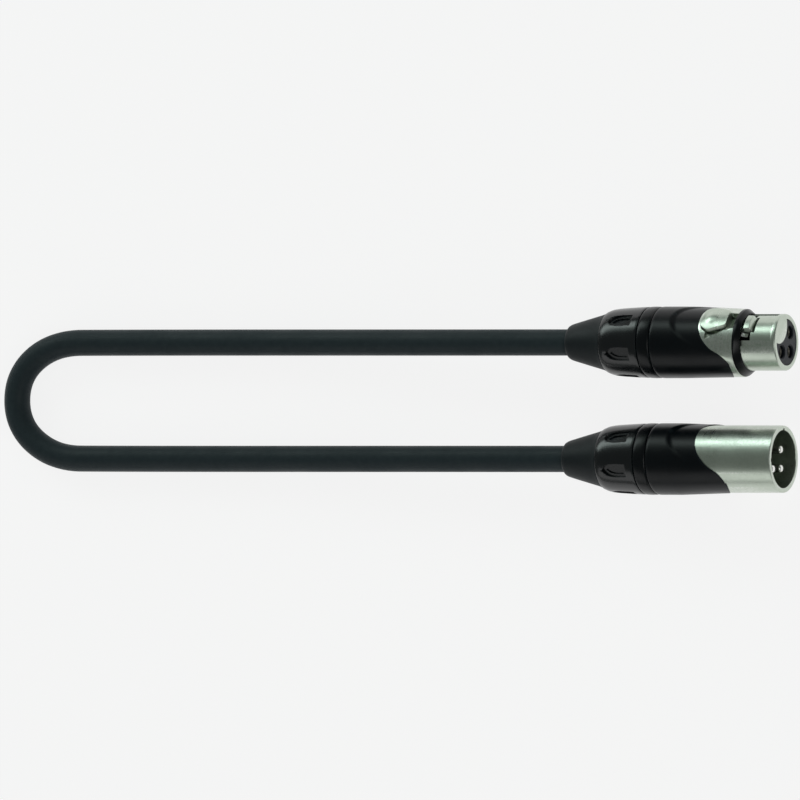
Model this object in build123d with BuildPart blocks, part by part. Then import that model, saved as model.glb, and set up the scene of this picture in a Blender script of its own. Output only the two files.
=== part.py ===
from build123d import *
from math import cos, pi, radians, sin, tan
import os

# A short balanced microphone lead: a three-contact socket connector and a three-pin plug
# connector joined by one jacketed cable laid in a single U.
#
# Millimetres. +X is the way both connectors face, +Z is up and the floor is Z = 0.
# The origin is under the middle of the two connectors.
# "u" is the distance along a connector, counted from the rim of its rubber boot.
# The "key" is the direction, square to the axis, of the latch and of the gap between the
# first two contacts. "turn" is an angle from the key, in degrees.

os.makedirs("parts", exist_ok=True)

# ---------------------------------------------------------------- driving dimensions

# the lead
cable_r = 3.7
axis_spacing = 32.7      # between the two connector axes
key_roll = 44.0          # the key's angle from +Z towards +Y
socket_rear_x = -33.0    # the rim of the socket connector's boot
plug_rear_x = -34.1      # the rim of the plug connector's boot

# clearances
slip = 0.05              # between pieces that are slid or turned into each other
seam = 0.02              # between pieces moulded or clamped onto each other
latch_gap = 0.3          # round the latch

# radii about a connector's axis, each wall on the one inside it
bore_r = 6.95
tail_wall = 0.75         # the threaded tail round the bore
ring_step = 0.5          # from the thread up to the marker ring's seat
grip_step = 0.65         # from there up to the grip's seat
grip_wall = 1.2
thread_r = bore_r + tail_wall
ring_seat_r = thread_r + ring_step
grip_seat_r = ring_seat_r + grip_step
grip_r = grip_seat_r + grip_wall
collar_drop = 0.3        # the grip thins this much towards the collar
ring_r = grip_r
collar_r = grip_r - collar_drop
bushing_r = grip_r - slip
axis_z = grip_r          # the connectors lie on their grips
grip_chamfer = 0.4
ring_chamfer = 0.4
clamp_wall = 1.0
nose_wall = 1.0
nose_r = bore_r + nose_wall
nose_chamfer = 0.4
mouth_clearance = 0.15   # between a socket's nose and a plug's mouth
plug_wall = 1.35
plug_mouth_r = nose_r + mouth_clearance
plug_shell_r = plug_mouth_r + plug_wall
lip_step = 0.45          # the lip that an insert stops against
lip_length = 0.5
lip_r = bore_r - lip_step

# boot
boot_nose_length = 1.6
boot_nose_round = 1.5
boot_rim_wall = 0.4
boot_nose_wall = 1.6
boot_flank_wall = 4.1
boot_flare = 0.7         # its step out to the bushing
boot_length = 12.4       # what shows of it
flare_length = 1.5
flange_seat = 0.8
flange_length = 0.8
flange_drop = 0.5
spigot_drop = 0.8
boot_rim_r = cable_r + boot_rim_wall
boot_nose_r = cable_r + boot_nose_wall
boot_flank_r = cable_r + boot_flank_wall
boot_seam_r = boot_flank_r + boot_flare
boot_flare_u = boot_length - flare_length
boot_flange_r = boot_seam_r - flange_drop
boot_spigot_r = boot_flange_r - spigot_drop
boot_flange_u = boot_length + flange_seat
boot_end_u = boot_flange_u + flange_length

# bushing
bushing_length = 12.35
bushing_lip = 0.15       # its step out from the boot
bushing_shoulder = 1.6
bushing_shoulder_drop = 0.8
bushing_swell = 6.3
bushing_swell_drop = 0.35
bushing_end_u = boot_length + bushing_length
bushing_shoulder_u = boot_length + bushing_shoulder
bushing_shoulder_r = bushing_r - bushing_shoulder_drop
bushing_swell_u = boot_length + bushing_swell
bushing_swell_r = bushing_r - bushing_swell_drop

# windows of the bushing
window_count = 6
window_first_turn = -4.0
window_set_back = 2.6    # from the boot to the arch's tip
window_length = 7.3
window_arch = 3.4        # the pointed part of it
window_w = 3.6
window_depth = 0.7
window_lean = 5.0        # the floor follows the swell
window_tip_u = boot_length + window_set_back
window_end_u = window_tip_u + window_length

# cable clamp
jaw_gap = 0.2
jaw_length = 3.8
jaw_r = cable_r + 1.2
jaw_slot_w = 1.0
jaw_slot_length = 11.0
clamp_grip_length = 15.8
jaw_u = boot_end_u + jaw_gap
jaw_root_u = jaw_u + jaw_length
clamp_grip_u = jaw_u + clamp_grip_length
thread_set_back = 1.2
thread_u = jaw_root_u + thread_set_back

# marker ring and grip
ring_length = 3.95
grip_u = bushing_end_u + ring_length
grip_waist_u = grip_u + 7.3
scoop_u = grip_u + 6.4
scoop_r = grip_r + 0.35
scoop_drop = 0.95
scoop_fall = 0.05        # per millimetre, ahead of the thumb pad's widest place
tongue_set_back = 14.8
tongue_u = grip_u + tongue_set_back
collar_set_back = 10.8
collar_u = tongue_u + collar_set_back
lobe_gap = 1.6           # of metal left ahead of the grip's lobes
lobe_u = collar_u - lobe_gap
heel_u = lobe_u - 2.7    # the grip's front edge underneath
heel_half_w = 6.0

# cores, cups and inserts
jacket_end_u = clamp_grip_u + 1.0
core_length = 8.6
core_r = 0.75
core_lead = 2.4          # straight at each end of a core
core_start_r = 1.3
cup_u = jacket_end_u + core_length
cup_r = 1.5
cup_bore_r = 0.95
cup_depth = 2.5
cup_length = 4.4
insert_u = cup_u + cup_length
insert_recess = 0.2
plug_insert_length = 9.9
plug_floor_u = insert_u + plug_insert_length

# contacts
contact_circle_r = 3.81
contact_head = 6.0       # from an insert's rear face to the contacts' heads
contact_head_u = insert_u + contact_head
pin_r = 1.195
pin_root_r = pin_r + 0.155
pin_recess = 1.7
pin_point = 0.5
socket_bore_r = pin_r + 0.025
socket_tube_wall = 0.53
socket_tube_r = socket_bore_r + socket_tube_wall
contact_set_back = 1.2
socket_bore_depth = 10.5

# plug's mouth and its guide grooves
mouth_depth = 13.4
plug_face_u = plug_floor_u + mouth_depth
guide_turn = 46.0
guide_w = 1.0
guide_depth = 0.5
guide_length = 10.0

# socket's nose, its recess and the ring round its foot
nose_length = 12.8
socket_face_u = collar_u + nose_length
recess_turn = 52.0
recess_depth = 0.5
recess_set_back = 1.5
recess_end_u = socket_face_u - recess_set_back
ring_land = 0.2
nose_ring_length = 2.0
nose_ring_wall = 0.25
nose_ring_step = 0.1     # in from the collar
ring_nose_u = collar_u + nose_ring_length
nose_ring_r = collar_r - nose_ring_step

# latch: arm, tooth and window
arm_half_w = 2.5
arm_drop = 1.2           # the arm's top under the nose's surface
arm_t = 1.2
arm_top_v = nose_r - arm_drop
arm_bottom_v = arm_top_v - arm_t
tooth_set_forward = 0.8  # from the nose ring
tooth_length = 2.6
tooth_rise = 0.65        # above the nose's surface
tooth_ramp = 0.9
tooth_u = ring_nose_u + tooth_set_forward
tooth_end_u = tooth_u + tooth_length
tooth_v = nose_r + tooth_rise
window_gap = 0.6         # ahead of the tooth
window_far_u = tooth_end_u + window_gap
side_window_set_back = 1.2
side_window_u = window_far_u - side_window_set_back
side_window_half_w = 4.8
arm_room = 1.7           # under the arm, for its travel
insert_flat_v = arm_bottom_v - arm_room

# latch: thumb pad, land and pivot
pad_rise = 0.6           # above the collar
pad_crown_r = 11.3
pad_top_v = collar_r + pad_rise
pad_bottom_v = grip_seat_r - 0.25
pad_rear_u = tongue_u + 1.2
pad_wide_u = pad_rear_u + 2.0
pad_end_u = collar_u - 1.9
pad_rear_half_w = 3.0
pad_wide_half_w = 4.3
pad_end_half_w = 2.7
pad_corner_r = 0.8
thumb_set_forward = 2.7
thumb_u = pad_rear_u + thumb_set_forward
thumb_r = 2.5
thumb_height = 0.3       # of the dome's crown above the pad's
thumb_edge_drop = 0.3
pocket_depth = 1.1       # under the pad, for its travel
pocket_v = pad_bottom_v - pocket_depth
land_u = pad_rear_u + 1.3
land_rear_v = pad_bottom_v - 1.1
land_rise = 1.6          # up to the collar
land_front_v = land_rear_v + land_rise
pivot_r = 0.5
pivot_half_length = 4.1
pivot_u = tongue_u + 3.0
pivot_v = pocket_v - 0.6
knuckle_r = pivot_r + 0.65
arm_root_u = pivot_u + 3.0
pad_foot = 0.5           # where the pad runs into the arm

# boss in the socket's face
boss_gap = 1.0
boss_u = window_far_u + boss_gap
boss_v = contact_circle_r + 3.09
boss_r = 5.2

# latch spring: a bowed leaf under the arm
leaf_rear_u = pivot_u + 1.6
leaf_crest_u = leaf_rear_u + 4.1
leaf_foot = 0.8
leaf_t = 0.25
leaf_half_w = 1.5

# earth spring: two fingers beside the tooth
finger_t = 0.3
finger_w = 1.3
finger_inner_w = arm_half_w + latch_gap
finger_root_u = collar_u - 2.3
finger_bridge_u = finger_root_u + 2.0
finger_rise_u = finger_bridge_u + 0.5
finger_top_u = ring_nose_u + 0.2
finger_end_u = side_window_u - 0.8
finger_top_v = nose_r - 1.2
finger_dip = 0.5


class End:
    """Where one connector lies: planes and axes for the sketches of its pieces."""

    def __init__(self, name, rear_x, axis_y):
        self.name = name
        self.rear_x = rear_x
        self.axis_y = axis_y
        self.axis = Axis((rear_x, axis_y, axis_z), (1, 0, 0))

    def lengthways(self, turn=0.0):
        """Through the axis: local x runs forward from the boot's rim, local y outwards."""
        angle = radians(key_roll + turn)
        origin = (self.rear_x, self.axis_y, axis_z)
        return Plane(origin=origin, x_dir=(1, 0, 0), z_dir=(0, -cos(angle), sin(angle)))

    def across(self, u):
        """Square to the axis, facing forward: local y points at the key."""
        angle = radians(key_roll)
        origin = (self.rear_x + u, self.axis_y, axis_z)
        return Plane(origin=origin, x_dir=(0, cos(angle), -sin(angle)), z_dir=(1, 0, 0))

    def facing(self, turn=0.0, height=0.0):
        """Square to the direction at `turn`: local x runs forward, local y sideways."""
        angle = radians(key_roll + turn)
        out_y = sin(angle)
        out_z = cos(angle)
        origin = (self.rear_x, self.axis_y + height * out_y, axis_z + height * out_z)
        return Plane(origin=origin, x_dir=(1, 0, 0), z_dir=(0, out_y, out_z))

    def leaning(self, turn, u, height, lean):
        """As `facing`, with its origin `u` along and tipped to rise `lean` degrees forward."""
        flat = self.facing(turn, height)
        tip = radians(lean)
        forward = flat.x_dir * cos(tip) + flat.z_dir * sin(tip)
        outward = flat.z_dir * cos(tip) - flat.x_dir * sin(tip)
        return Plane(origin=flat.from_local_coords((u, 0)), x_dir=forward, z_dir=outward)


socket_end = End("socket", socket_rear_x, axis_spacing / 2)
plug_end = End("plug", plug_rear_x, -axis_spacing / 2)
ends = (socket_end, plug_end)

# contact number: its turn from the key; a plug's contacts mirror a socket's
contact_turns = {
    "socket": {1: 90.0, 2: -90.0, 3: 180.0},
    "plug": {1: -90.0, 2: 90.0, 3: 180.0},
}


def save(piece, name):
    """Label a finished piece and write it as its own STEP file."""
    piece.part.label = name
    export_step(piece.part, f"parts/{name}.step")


# ---------------------------------------------------------------- rubber boots

for end in ends:
    with BuildPart() as boot:
        with BuildSketch(end.lengthways()):
            with BuildLine():
                Polyline(
                    (0, cable_r + slip),
                    (0, boot_rim_r),
                    (boot_nose_length, boot_nose_r),
                    (boot_flare_u, boot_flank_r),
                    (boot_length, boot_seam_r),
                    (boot_length, boot_spigot_r),
                    (boot_flange_u, boot_spigot_r),
                    (boot_flange_u, boot_flange_r),
                    (boot_end_u, boot_flange_r),
                    (boot_end_u, cable_r + slip),
                    close=True,
                )
            make_face()
            fillet(vertices().group_by(Axis.X)[1], boot_nose_round)
        revolve(axis=end.axis)
    save(boot, f"{end.name}_boot")

# ---------------------------------------------------------------- bushings


def bullet():
    """A window: an arch that points to the rear and is cut off square at the front."""
    half = window_w / 2
    tip = window_tip_u - bushing_swell_u
    shoulder = tip + window_arch
    flat = window_end_u - bushing_swell_u
    with BuildSketch(mode=Mode.PRIVATE) as arch:
        with BuildLine():
            upper = TangentArc((shoulder, half), (tip, 0), tangent=(-1, 0))
            TangentArc((shoulder, -half), (tip, 0), tangent=(-1, 0))
            Polyline(upper @ 0, (flat, half), (flat, -half), (shoulder, -half))
        make_face()
    return arch.sketch


window_turns = [window_first_turn + n * 360 / window_count for n in range(window_count)]

for end in ends:
    with BuildPart() as bushing:
        with BuildSketch(end.lengthways()):
            with BuildLine():
                Polyline(
                    (boot_length + slip, boot_spigot_r + slip),
                    (boot_length + slip, boot_seam_r + bushing_lip),
                    (bushing_shoulder_u, bushing_shoulder_r),
                    (bushing_swell_u, bushing_swell_r),
                    (bushing_end_u, bushing_r),
                    (bushing_end_u, boot_spigot_r + slip),
                    close=True,
                )
            make_face()
        revolve(axis=end.axis)
        for turn in window_turns:
            with BuildSketch(end.leaning(turn, bushing_swell_u, bushing_swell_r - window_depth, window_lean)):
                add(bullet())
            extrude(amount=bushing_r, mode=Mode.SUBTRACT)
        with BuildSketch(end.lengthways()):
            with BuildLine():
                Polyline(
                    (boot_flange_u - slip, 0),
                    (boot_flange_u - slip, boot_flange_r + slip),
                    (boot_end_u + slip, boot_flange_r + slip),
                    (boot_end_u + slip, jaw_r + slip),
                    (jaw_u, jaw_r + slip),
                    (jaw_root_u, bore_r),
                    (thread_u - slip, bore_r),
                    (thread_u - slip, thread_r + slip),
                    (bushing_end_u, thread_r + slip),
                    (bushing_end_u, 0),
                    close=True,
                )
            make_face()
        revolve(axis=end.axis, mode=Mode.SUBTRACT)
    save(bushing, f"{end.name}_bushing")

# ---------------------------------------------------------------- marker rings

for end in ends:
    with BuildPart() as marker_ring:
        with BuildSketch(end.lengthways()):
            with Locations(((bushing_end_u + grip_u) / 2, (ring_seat_r + slip + ring_r) / 2)):
                Rectangle(grip_u - bushing_end_u - 2 * slip, ring_r - ring_seat_r - slip)
            chamfer(vertices().group_by(Axis.Y)[-1], ring_chamfer)
        revolve(axis=end.axis)
    save(marker_ring, f"{end.name}_marker_ring")

# ---------------------------------------------------------------- grip and scoop

# half of each outline as seen from the key: how far forward of its rear, and at what turn
tongue_half = [(0, 0), (0.6, 23.5), (3.2, 47.4), (7.3, 64.2)]
tongue_end_turn = 75.0
scoop_half = [(0, 0), (1.7, 26.0), (5.8, 45.0), (13.5, 60.5)]
scoop_end_turn = 67.5
far_r = 1.2 * grip_r     # outside everything


def outline_from_key(rear_u, half, end_turn, front_u):
    """A closed outline, symmetric about the axis: a smooth curve through `half`, open forward."""
    upper = [(rear_u + ahead, grip_r * sin(radians(turn))) for ahead, turn in half]
    lower = [(u, -w) for u, w in reversed(upper[1:])]
    front_w = grip_r * sin(radians(end_turn))
    with BuildSketch(mode=Mode.PRIVATE) as outline:
        with BuildLine():
            curve = Spline(lower + upper)
            Polyline(curve @ 1, (front_u, front_w), (front_u, -front_w), curve @ 0)
        make_face()
    return outline.sketch


def grip_zone(end):
    """The room round the shell that the grip fills, with its lobed front edge."""
    with BuildPart() as zone:
        with BuildSketch(end.across(grip_u)):
            Circle(far_r)
            Circle(grip_seat_r, mode=Mode.SUBTRACT)
        extrude(amount=collar_u - grip_u)
        with BuildSketch(end.facing()):
            add(outline_from_key(tongue_u, tongue_half, tongue_end_turn, lobe_u))
            with Locations((lobe_u, 0)):
                Rectangle(collar_u - lobe_u, 2 * far_r, align=(Align.MIN, Align.CENTER))
        extrude(amount=far_r, mode=Mode.SUBTRACT)
        with BuildSketch(end.facing(180)):
            with BuildLine():
                lobe_w = grip_r * sin(radians(tongue_end_turn))
                Polyline(
                    (heel_u, -heel_half_w),
                    (heel_u, heel_half_w),
                    (lobe_u, lobe_w),
                    (lobe_u, far_r),
                    (collar_u, far_r),
                    (collar_u, -far_r),
                    (lobe_u, -far_r),
                    (lobe_u, -lobe_w),
                    close=True,
                )
            make_face()
        extrude(amount=far_r, mode=Mode.SUBTRACT)
    return zone.part


def outside_barrel(end):
    """All that lies outside a wide barrel set below the axis, which flattens the key side."""
    centre = end.lengthways().from_local_coords((0, -scoop_drop))
    with BuildPart() as outside:
        with BuildSketch(end.across(scoop_u)):
            Circle(far_r)
        extrude(amount=ring_nose_u - scoop_u)
        with BuildSketch(end.lengthways()):
            with BuildLine():
                front_r = scoop_r - scoop_fall * (ring_nose_u - pad_wide_u)
                Polyline(
                    (scoop_u, -scoop_drop),
                    (scoop_u, scoop_r - scoop_drop),
                    (pad_wide_u, scoop_r - scoop_drop),
                    (ring_nose_u, front_r - scoop_drop),
                    (ring_nose_u, -scoop_drop),
                    close=True,
                )
            make_face()
        revolve(axis=Axis(centre, (1, 0, 0)), mode=Mode.SUBTRACT)
    return outside.part


def scoop(end):
    """What is scooped off the grip's key side, down to the barrel."""
    with BuildPart() as hollow:
        with BuildSketch(end.facing()):
            add(outline_from_key(scoop_u, scoop_half, scoop_end_turn, collar_u))
        extrude(amount=far_r)
        add(outside_barrel(end), mode=Mode.INTERSECT)
    return hollow.part


grip_zones = {end.name: grip_zone(end) for end in ends}
scoops = {end.name: scoop(end) for end in ends}
front_r = {"socket": collar_r, "plug": plug_shell_r}

for end in ends:
    with BuildPart() as grip:
        with BuildSketch(end.lengthways()):
            with BuildLine():
                Polyline(
                    (grip_u, grip_seat_r + seam),
                    (grip_u, grip_r - grip_chamfer),
                    (grip_u + grip_chamfer, grip_r),
                    (grip_waist_u, grip_r),
                    (collar_u, front_r[end.name]),
                    (collar_u, grip_seat_r + seam),
                    close=True,
                )
            make_face()
        revolve(axis=end.axis)
        add(grip_zones[end.name], mode=Mode.INTERSECT)
        add(scoops[end.name], mode=Mode.SUBTRACT)
    save(grip, f"{end.name}_grip")

# ---------------------------------------------------------------- shells


def shell_body(end, front):
    """Revolve a shell: the threaded tail, the seats of ring and grip, then `front`'s profile."""
    with BuildPart() as body:
        with BuildSketch(end.lengthways()):
            with BuildLine():
                Polyline(
                    (thread_u, bore_r),
                    (thread_u, thread_r),
                    (bushing_end_u, thread_r),
                    (bushing_end_u, ring_seat_r),
                    (grip_u, ring_seat_r),
                    (grip_u, front_r[end.name]),
                    *front,
                    close=True,
                )
            make_face()
        revolve(axis=end.axis)
        add(grip_zones[end.name], mode=Mode.SUBTRACT)
    return body.part


# plug shell
plug_front = [
    (plug_face_u, plug_shell_r),
    (plug_face_u, plug_mouth_r),
    (plug_floor_u, plug_mouth_r),
    (plug_floor_u, lip_r),
    (plug_floor_u - lip_length, lip_r),
    (plug_floor_u - lip_length, bore_r),
]
plug_blank = shell_body(plug_end, plug_front)
with BuildPart() as plug_shell:
    add(plug_blank)
    for turn in (-guide_turn, guide_turn):
        with BuildSketch(plug_end.across(plug_face_u)):
            with Locations(Rotation(0, 0, -turn)):
                with Locations((0, plug_mouth_r)):
                    Rectangle(guide_w, 2 * guide_depth)
        extrude(amount=-guide_length, mode=Mode.SUBTRACT)
save(plug_shell, "plug_shell")



def pad_outline():
    """The thumb pad as seen from the key."""
    with BuildSketch(mode=Mode.PRIVATE) as outline:
        with BuildLine():
            Polyline(
                (pad_rear_u, -pad_rear_half_w),
                (pad_wide_u, -pad_wide_half_w),
                (pad_end_u, -pad_end_half_w),
                (pad_end_u, pad_end_half_w),
                (pad_wide_u, pad_wide_half_w),
                (pad_rear_u, pad_rear_half_w),
                close=True,
            )
        make_face()
        fillet(vertices(), pad_corner_r)
    return outline.sketch


# socket shell
socket_front = [
    (collar_u, collar_r),
    (collar_u, nose_r),
    (socket_face_u - nose_chamfer, nose_r),
    (socket_face_u, nose_r - nose_chamfer),
    (socket_face_u, lip_r),
    (socket_face_u - lip_length, lip_r),
    (socket_face_u - lip_length, bore_r),
]
socket_blank = shell_body(socket_end, socket_front)
with BuildPart() as boss:
    with BuildSketch(socket_end.across(boss_u)):
        Circle(bore_r + seam)
        with Locations((0, boss_v)):
            Circle(boss_r, mode=Mode.INTERSECT)
    extrude(amount=socket_face_u - boss_u)
with BuildPart() as recess:
    with BuildSketch(socket_end.across(collar_u)):
        Circle(far_r)
        Circle(nose_r - recess_depth, mode=Mode.SUBTRACT)
        with BuildLine():
            reach = 2 * far_r
            edge_x = reach * sin(radians(recess_turn))
            edge_y = reach * cos(radians(recess_turn))
            Polyline((0, 0), (edge_x, edge_y), (-edge_x, edge_y), close=True)
        make_face(mode=Mode.INTERSECT)
    extrude(amount=recess_end_u - collar_u)
with BuildPart() as socket_shell:
    add(socket_blank)
    add(outside_barrel(socket_end), mode=Mode.SUBTRACT)
    add(boss.part)
    add(recess.part, mode=Mode.SUBTRACT)
    # the land beside the thumb pad, which rises to meet the collar, and the pad's pocket
    with BuildSketch(socket_end.lengthways()):
        with BuildLine():
            Polyline(
                (land_u, land_rear_v),
                (collar_u, land_front_v),
                (collar_u, far_r),
                (land_u, far_r),
                close=True,
            )
        make_face()
    extrude(amount=grip_r, both=True, mode=Mode.SUBTRACT)
    with BuildSketch(socket_end.facing(0, pocket_v)):
        add(pad_outline())
        offset(amount=latch_gap)
    extrude(amount=far_r, mode=Mode.SUBTRACT)
    # the slot that the latch arm lies in, and the stepped window round the tooth
    with BuildSketch(socket_end.facing()):
        slot_rear_u = pivot_u - knuckle_r - latch_gap
        with Locations(((slot_rear_u + window_far_u) / 2, 0)):
            Rectangle(window_far_u - slot_rear_u, 2 * (arm_half_w + latch_gap))
        with Locations(((collar_u + side_window_u) / 2, 0)):
            Rectangle(side_window_u - collar_u, 2 * side_window_half_w)
    extrude(amount=far_r, mode=Mode.SUBTRACT)
    # the pivot pin's blind holes
    with BuildSketch(socket_end.lengthways()):
        with Locations((pivot_u, pivot_v)):
            Circle(pivot_r + seam)
    extrude(amount=pivot_half_length + seam, both=True, mode=Mode.SUBTRACT)
save(socket_shell, "socket_shell")

# nose ring: the black cone round the foot of the socket's nose
with BuildPart() as nose_ring:
    with BuildSketch(socket_end.lengthways()):
        with BuildLine():
            Polyline(
                (collar_u + seam, nose_r + slip),
                (collar_u + seam, nose_ring_r),
                (collar_u + ring_land, nose_ring_r),
                (ring_nose_u, nose_r + nose_ring_wall),
                (ring_nose_u, nose_r + slip),
                close=True,
            )
        make_face()
    revolve(axis=socket_end.axis)
    add(outside_barrel(socket_end), mode=Mode.SUBTRACT)
save(nose_ring, "socket_nose_ring")

# ---------------------------------------------------------------- inserts and contacts


def contact_places(end):
    """The three contacts' places on the plane square to the axis."""
    turns = [radians(turn) for turn in contact_turns[end.name].values()]
    return [(contact_circle_r * sin(t), contact_circle_r * cos(t)) for t in turns]


def insert_body(end, stop_u, nose_end_u, lip_hole_r, rear_r, head_r, head_u):
    """A plug or socket's insulating insert: a stepped plug with a stepped hole per contact."""
    with BuildPart() as body:
        with BuildSketch(end.across(insert_u)):
            Circle(bore_r - slip)
        extrude(amount=stop_u - insert_u)
        with BuildSketch(end.across(stop_u)):
            Circle(lip_hole_r - slip)
        extrude(amount=nose_end_u - stop_u)
        with BuildSketch(end.across(insert_u)):
            with Locations(contact_places(end)):
                Circle(rear_r + slip)
        extrude(amount=head_u - insert_u, mode=Mode.SUBTRACT)
        with BuildSketch(end.across(head_u)):
            with Locations(contact_places(end)):
                Circle(head_r + slip)
        extrude(amount=nose_end_u - head_u, mode=Mode.SUBTRACT)
    return body.part


plug_stop_u = plug_floor_u - lip_length - slip
plug_insert_blank = insert_body(
    plug_end, plug_stop_u, plug_floor_u, lip_r, cup_r, pin_root_r, contact_head_u
)
with BuildPart() as plug_insert:
    add(plug_insert_blank)
save(plug_insert, "plug_insert")

socket_stop_u = socket_face_u - lip_length - slip
socket_insert_end_u = socket_face_u - insert_recess
socket_insert_blank = insert_body(
    socket_end, socket_stop_u, socket_insert_end_u, lip_r, cup_r, socket_tube_r, contact_head_u
)
with BuildPart() as socket_insert:
    add(socket_insert_blank)
    # the flat under the latch arm, and the scallop round the shell's boss
    with BuildSketch(socket_end.lengthways()):
        with Locations((0, insert_flat_v)):
            Rectangle(boss_u - slip, far_r, align=(Align.MIN, Align.MIN))
    extrude(amount=far_r, both=True, mode=Mode.SUBTRACT)
    with BuildSketch(socket_end.across(boss_u - slip)):
        with Locations((0, boss_v)):
            Circle(boss_r + slip)
    extrude(amount=socket_face_u - boss_u, mode=Mode.SUBTRACT)
save(socket_insert, "socket_insert")

for number, turn in contact_turns["plug"].items():
    with BuildPart() as pin:
        with BuildSketch(plug_end.lengthways(turn)):
            with BuildLine():
                tip_u = plug_face_u - pin_recess
                Polyline(
                    (cup_u, contact_circle_r),
                    (cup_u, contact_circle_r + cup_r),
                    (contact_head_u - slip, contact_circle_r + cup_r),
                    (contact_head_u - slip, contact_circle_r + pin_root_r),
                    (plug_floor_u, contact_circle_r + pin_root_r),
                    (plug_floor_u, contact_circle_r + pin_r),
                    (tip_u - pin_point, contact_circle_r + pin_r),
                    (tip_u, contact_circle_r + pin_r - pin_point),
                    (tip_u, contact_circle_r),
                    close=True,
                )
            make_face()
        centre = plug_end.lengthways(turn).from_local_coords((0, contact_circle_r))
        revolve(axis=Axis(centre, (1, 0, 0)))
        with BuildSketch(Plane(origin=centre + Vector(cup_u, 0, 0), z_dir=(1, 0, 0))):
            Circle(cup_bore_r)
        extrude(amount=cup_depth, mode=Mode.SUBTRACT)
    save(pin, f"plug_contact_{number}")

for number, turn in contact_turns["socket"].items():
    with BuildPart() as tube:
        with BuildSketch(socket_end.lengthways(turn)):
            with BuildLine():
                mouth_u = socket_face_u - contact_set_back
                Polyline(
                    (cup_u, contact_circle_r),
                    (cup_u, contact_circle_r + cup_r),
                    (contact_head_u + slip, contact_circle_r + cup_r),
                    (contact_head_u + slip, contact_circle_r + socket_tube_r),
                    (mouth_u, contact_circle_r + socket_tube_r),
                    (mouth_u, contact_circle_r + socket_bore_r),
                    (mouth_u - socket_bore_depth, contact_circle_r + socket_bore_r),
                    (mouth_u - socket_bore_depth, contact_circle_r),
                    close=True,
                )
            make_face()
        centre = socket_end.lengthways(turn).from_local_coords((0, contact_circle_r))
        revolve(axis=Axis(centre, (1, 0, 0)))
        with BuildSketch(Plane(origin=centre + Vector(cup_u, 0, 0), z_dir=(1, 0, 0))):
            Circle(cup_bore_r)
        extrude(amount=cup_depth, mode=Mode.SUBTRACT)
    save(tube, f"socket_contact_{number}")

# ---------------------------------------------------------------- cable clamps and cores

for end in ends:
    with BuildPart() as clamp:
        with BuildSketch(end.lengthways()):
            with BuildLine():
                Polyline(
                    (jaw_u, cable_r + seam),
                    (jaw_u, jaw_r),
                    (jaw_root_u, bore_r - slip),
                    (insert_u - slip, bore_r - slip),
                    (insert_u - slip, bore_r - slip - clamp_wall),
                    (clamp_grip_u, bore_r - slip - clamp_wall),
                    (clamp_grip_u, cable_r + seam),
                    close=True,
                )
            make_face()
        revolve(axis=end.axis)
        with BuildSketch(end.across(jaw_u)):
            Rectangle(jaw_slot_w, 2 * bore_r)
            Rectangle(2 * bore_r, jaw_slot_w)
        extrude(amount=jaw_slot_length, mode=Mode.SUBTRACT)
    save(clamp, f"{end.name}_cable_clamp")

    for number, turn in contact_turns[end.name].items():
        with BuildPart() as core:
            with BuildLine(end.lengthways(turn)):
                route = Polyline(
                    (jacket_end_u + seam, core_start_r),
                    (jacket_end_u + core_lead, core_start_r),
                    (cup_u - core_lead, contact_circle_r),
                    (cup_u + cup_depth - slip, contact_circle_r),
                )
            with BuildSketch(Plane(origin=route @ 0, z_dir=(1, 0, 0))):
                Circle(core_r)
            sweep(transition=Transition.RIGHT)
        save(core, f"{end.name}_core_{number}")

# ---------------------------------------------------------------- latch

with BuildPart() as latch:
    # the arm, its knuckle and the tooth
    with BuildSketch(socket_end.lengthways()):
        with BuildLine():
            Polyline(
                (pivot_u, pivot_v - knuckle_r),
                (arm_root_u, arm_bottom_v),
                (tooth_end_u, arm_bottom_v),
                (tooth_end_u, arm_top_v),
                (tooth_end_u - tooth_ramp, tooth_v),
                (tooth_u, tooth_v),
                (tooth_u, arm_top_v),
                (pad_end_u - pad_foot, arm_top_v),
                (pad_end_u - pad_foot, pad_bottom_v + pad_foot),
                (pivot_u, pad_bottom_v + pad_foot),
                close=True,
            )
        make_face()
        with Locations((pivot_u, pivot_v)):
            Circle(knuckle_r)
    extrude(amount=arm_half_w, both=True)
    # the crowned thumb pad
    with BuildSketch(socket_end.facing(0, pad_bottom_v)):
        add(pad_outline())
    extrude(amount=far_r - pad_bottom_v)
    with BuildSketch(socket_end.across(pad_rear_u)):
        Circle(2 * far_r)
        with Locations((0, pad_top_v - pad_crown_r)):
            Circle(pad_crown_r, mode=Mode.SUBTRACT)
    extrude(amount=pad_end_u - pad_rear_u, mode=Mode.SUBTRACT)
    # the tooth follows the nose's roundness
    with BuildSketch(socket_end.across(tooth_u)):
        Circle(far_r)
        Circle(tooth_v, mode=Mode.SUBTRACT)
    extrude(amount=tooth_length, mode=Mode.SUBTRACT)
    # the domed thumb boss
    with BuildSketch(socket_end.lengthways()):
        with BuildLine():
            crown = TangentArc(
                (thumb_u, pad_top_v + thumb_height),
                (thumb_u + thumb_r, pad_top_v - thumb_edge_drop),
                tangent=(1, 0),
            )
            Polyline(crown @ 1, (thumb_u + thumb_r, pad_bottom_v), (thumb_u, pad_bottom_v), crown @ 0)
        make_face()
    thumb_foot = socket_end.lengthways().from_local_coords((thumb_u, 0))
    revolve(axis=Axis(thumb_foot, socket_end.facing().z_dir))
    with BuildSketch(socket_end.lengthways()):
        with Locations((pivot_u, pivot_v)):
            Circle(pivot_r + slip)
    extrude(amount=far_r, both=True, mode=Mode.SUBTRACT)
save(latch, "socket_latch")

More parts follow.
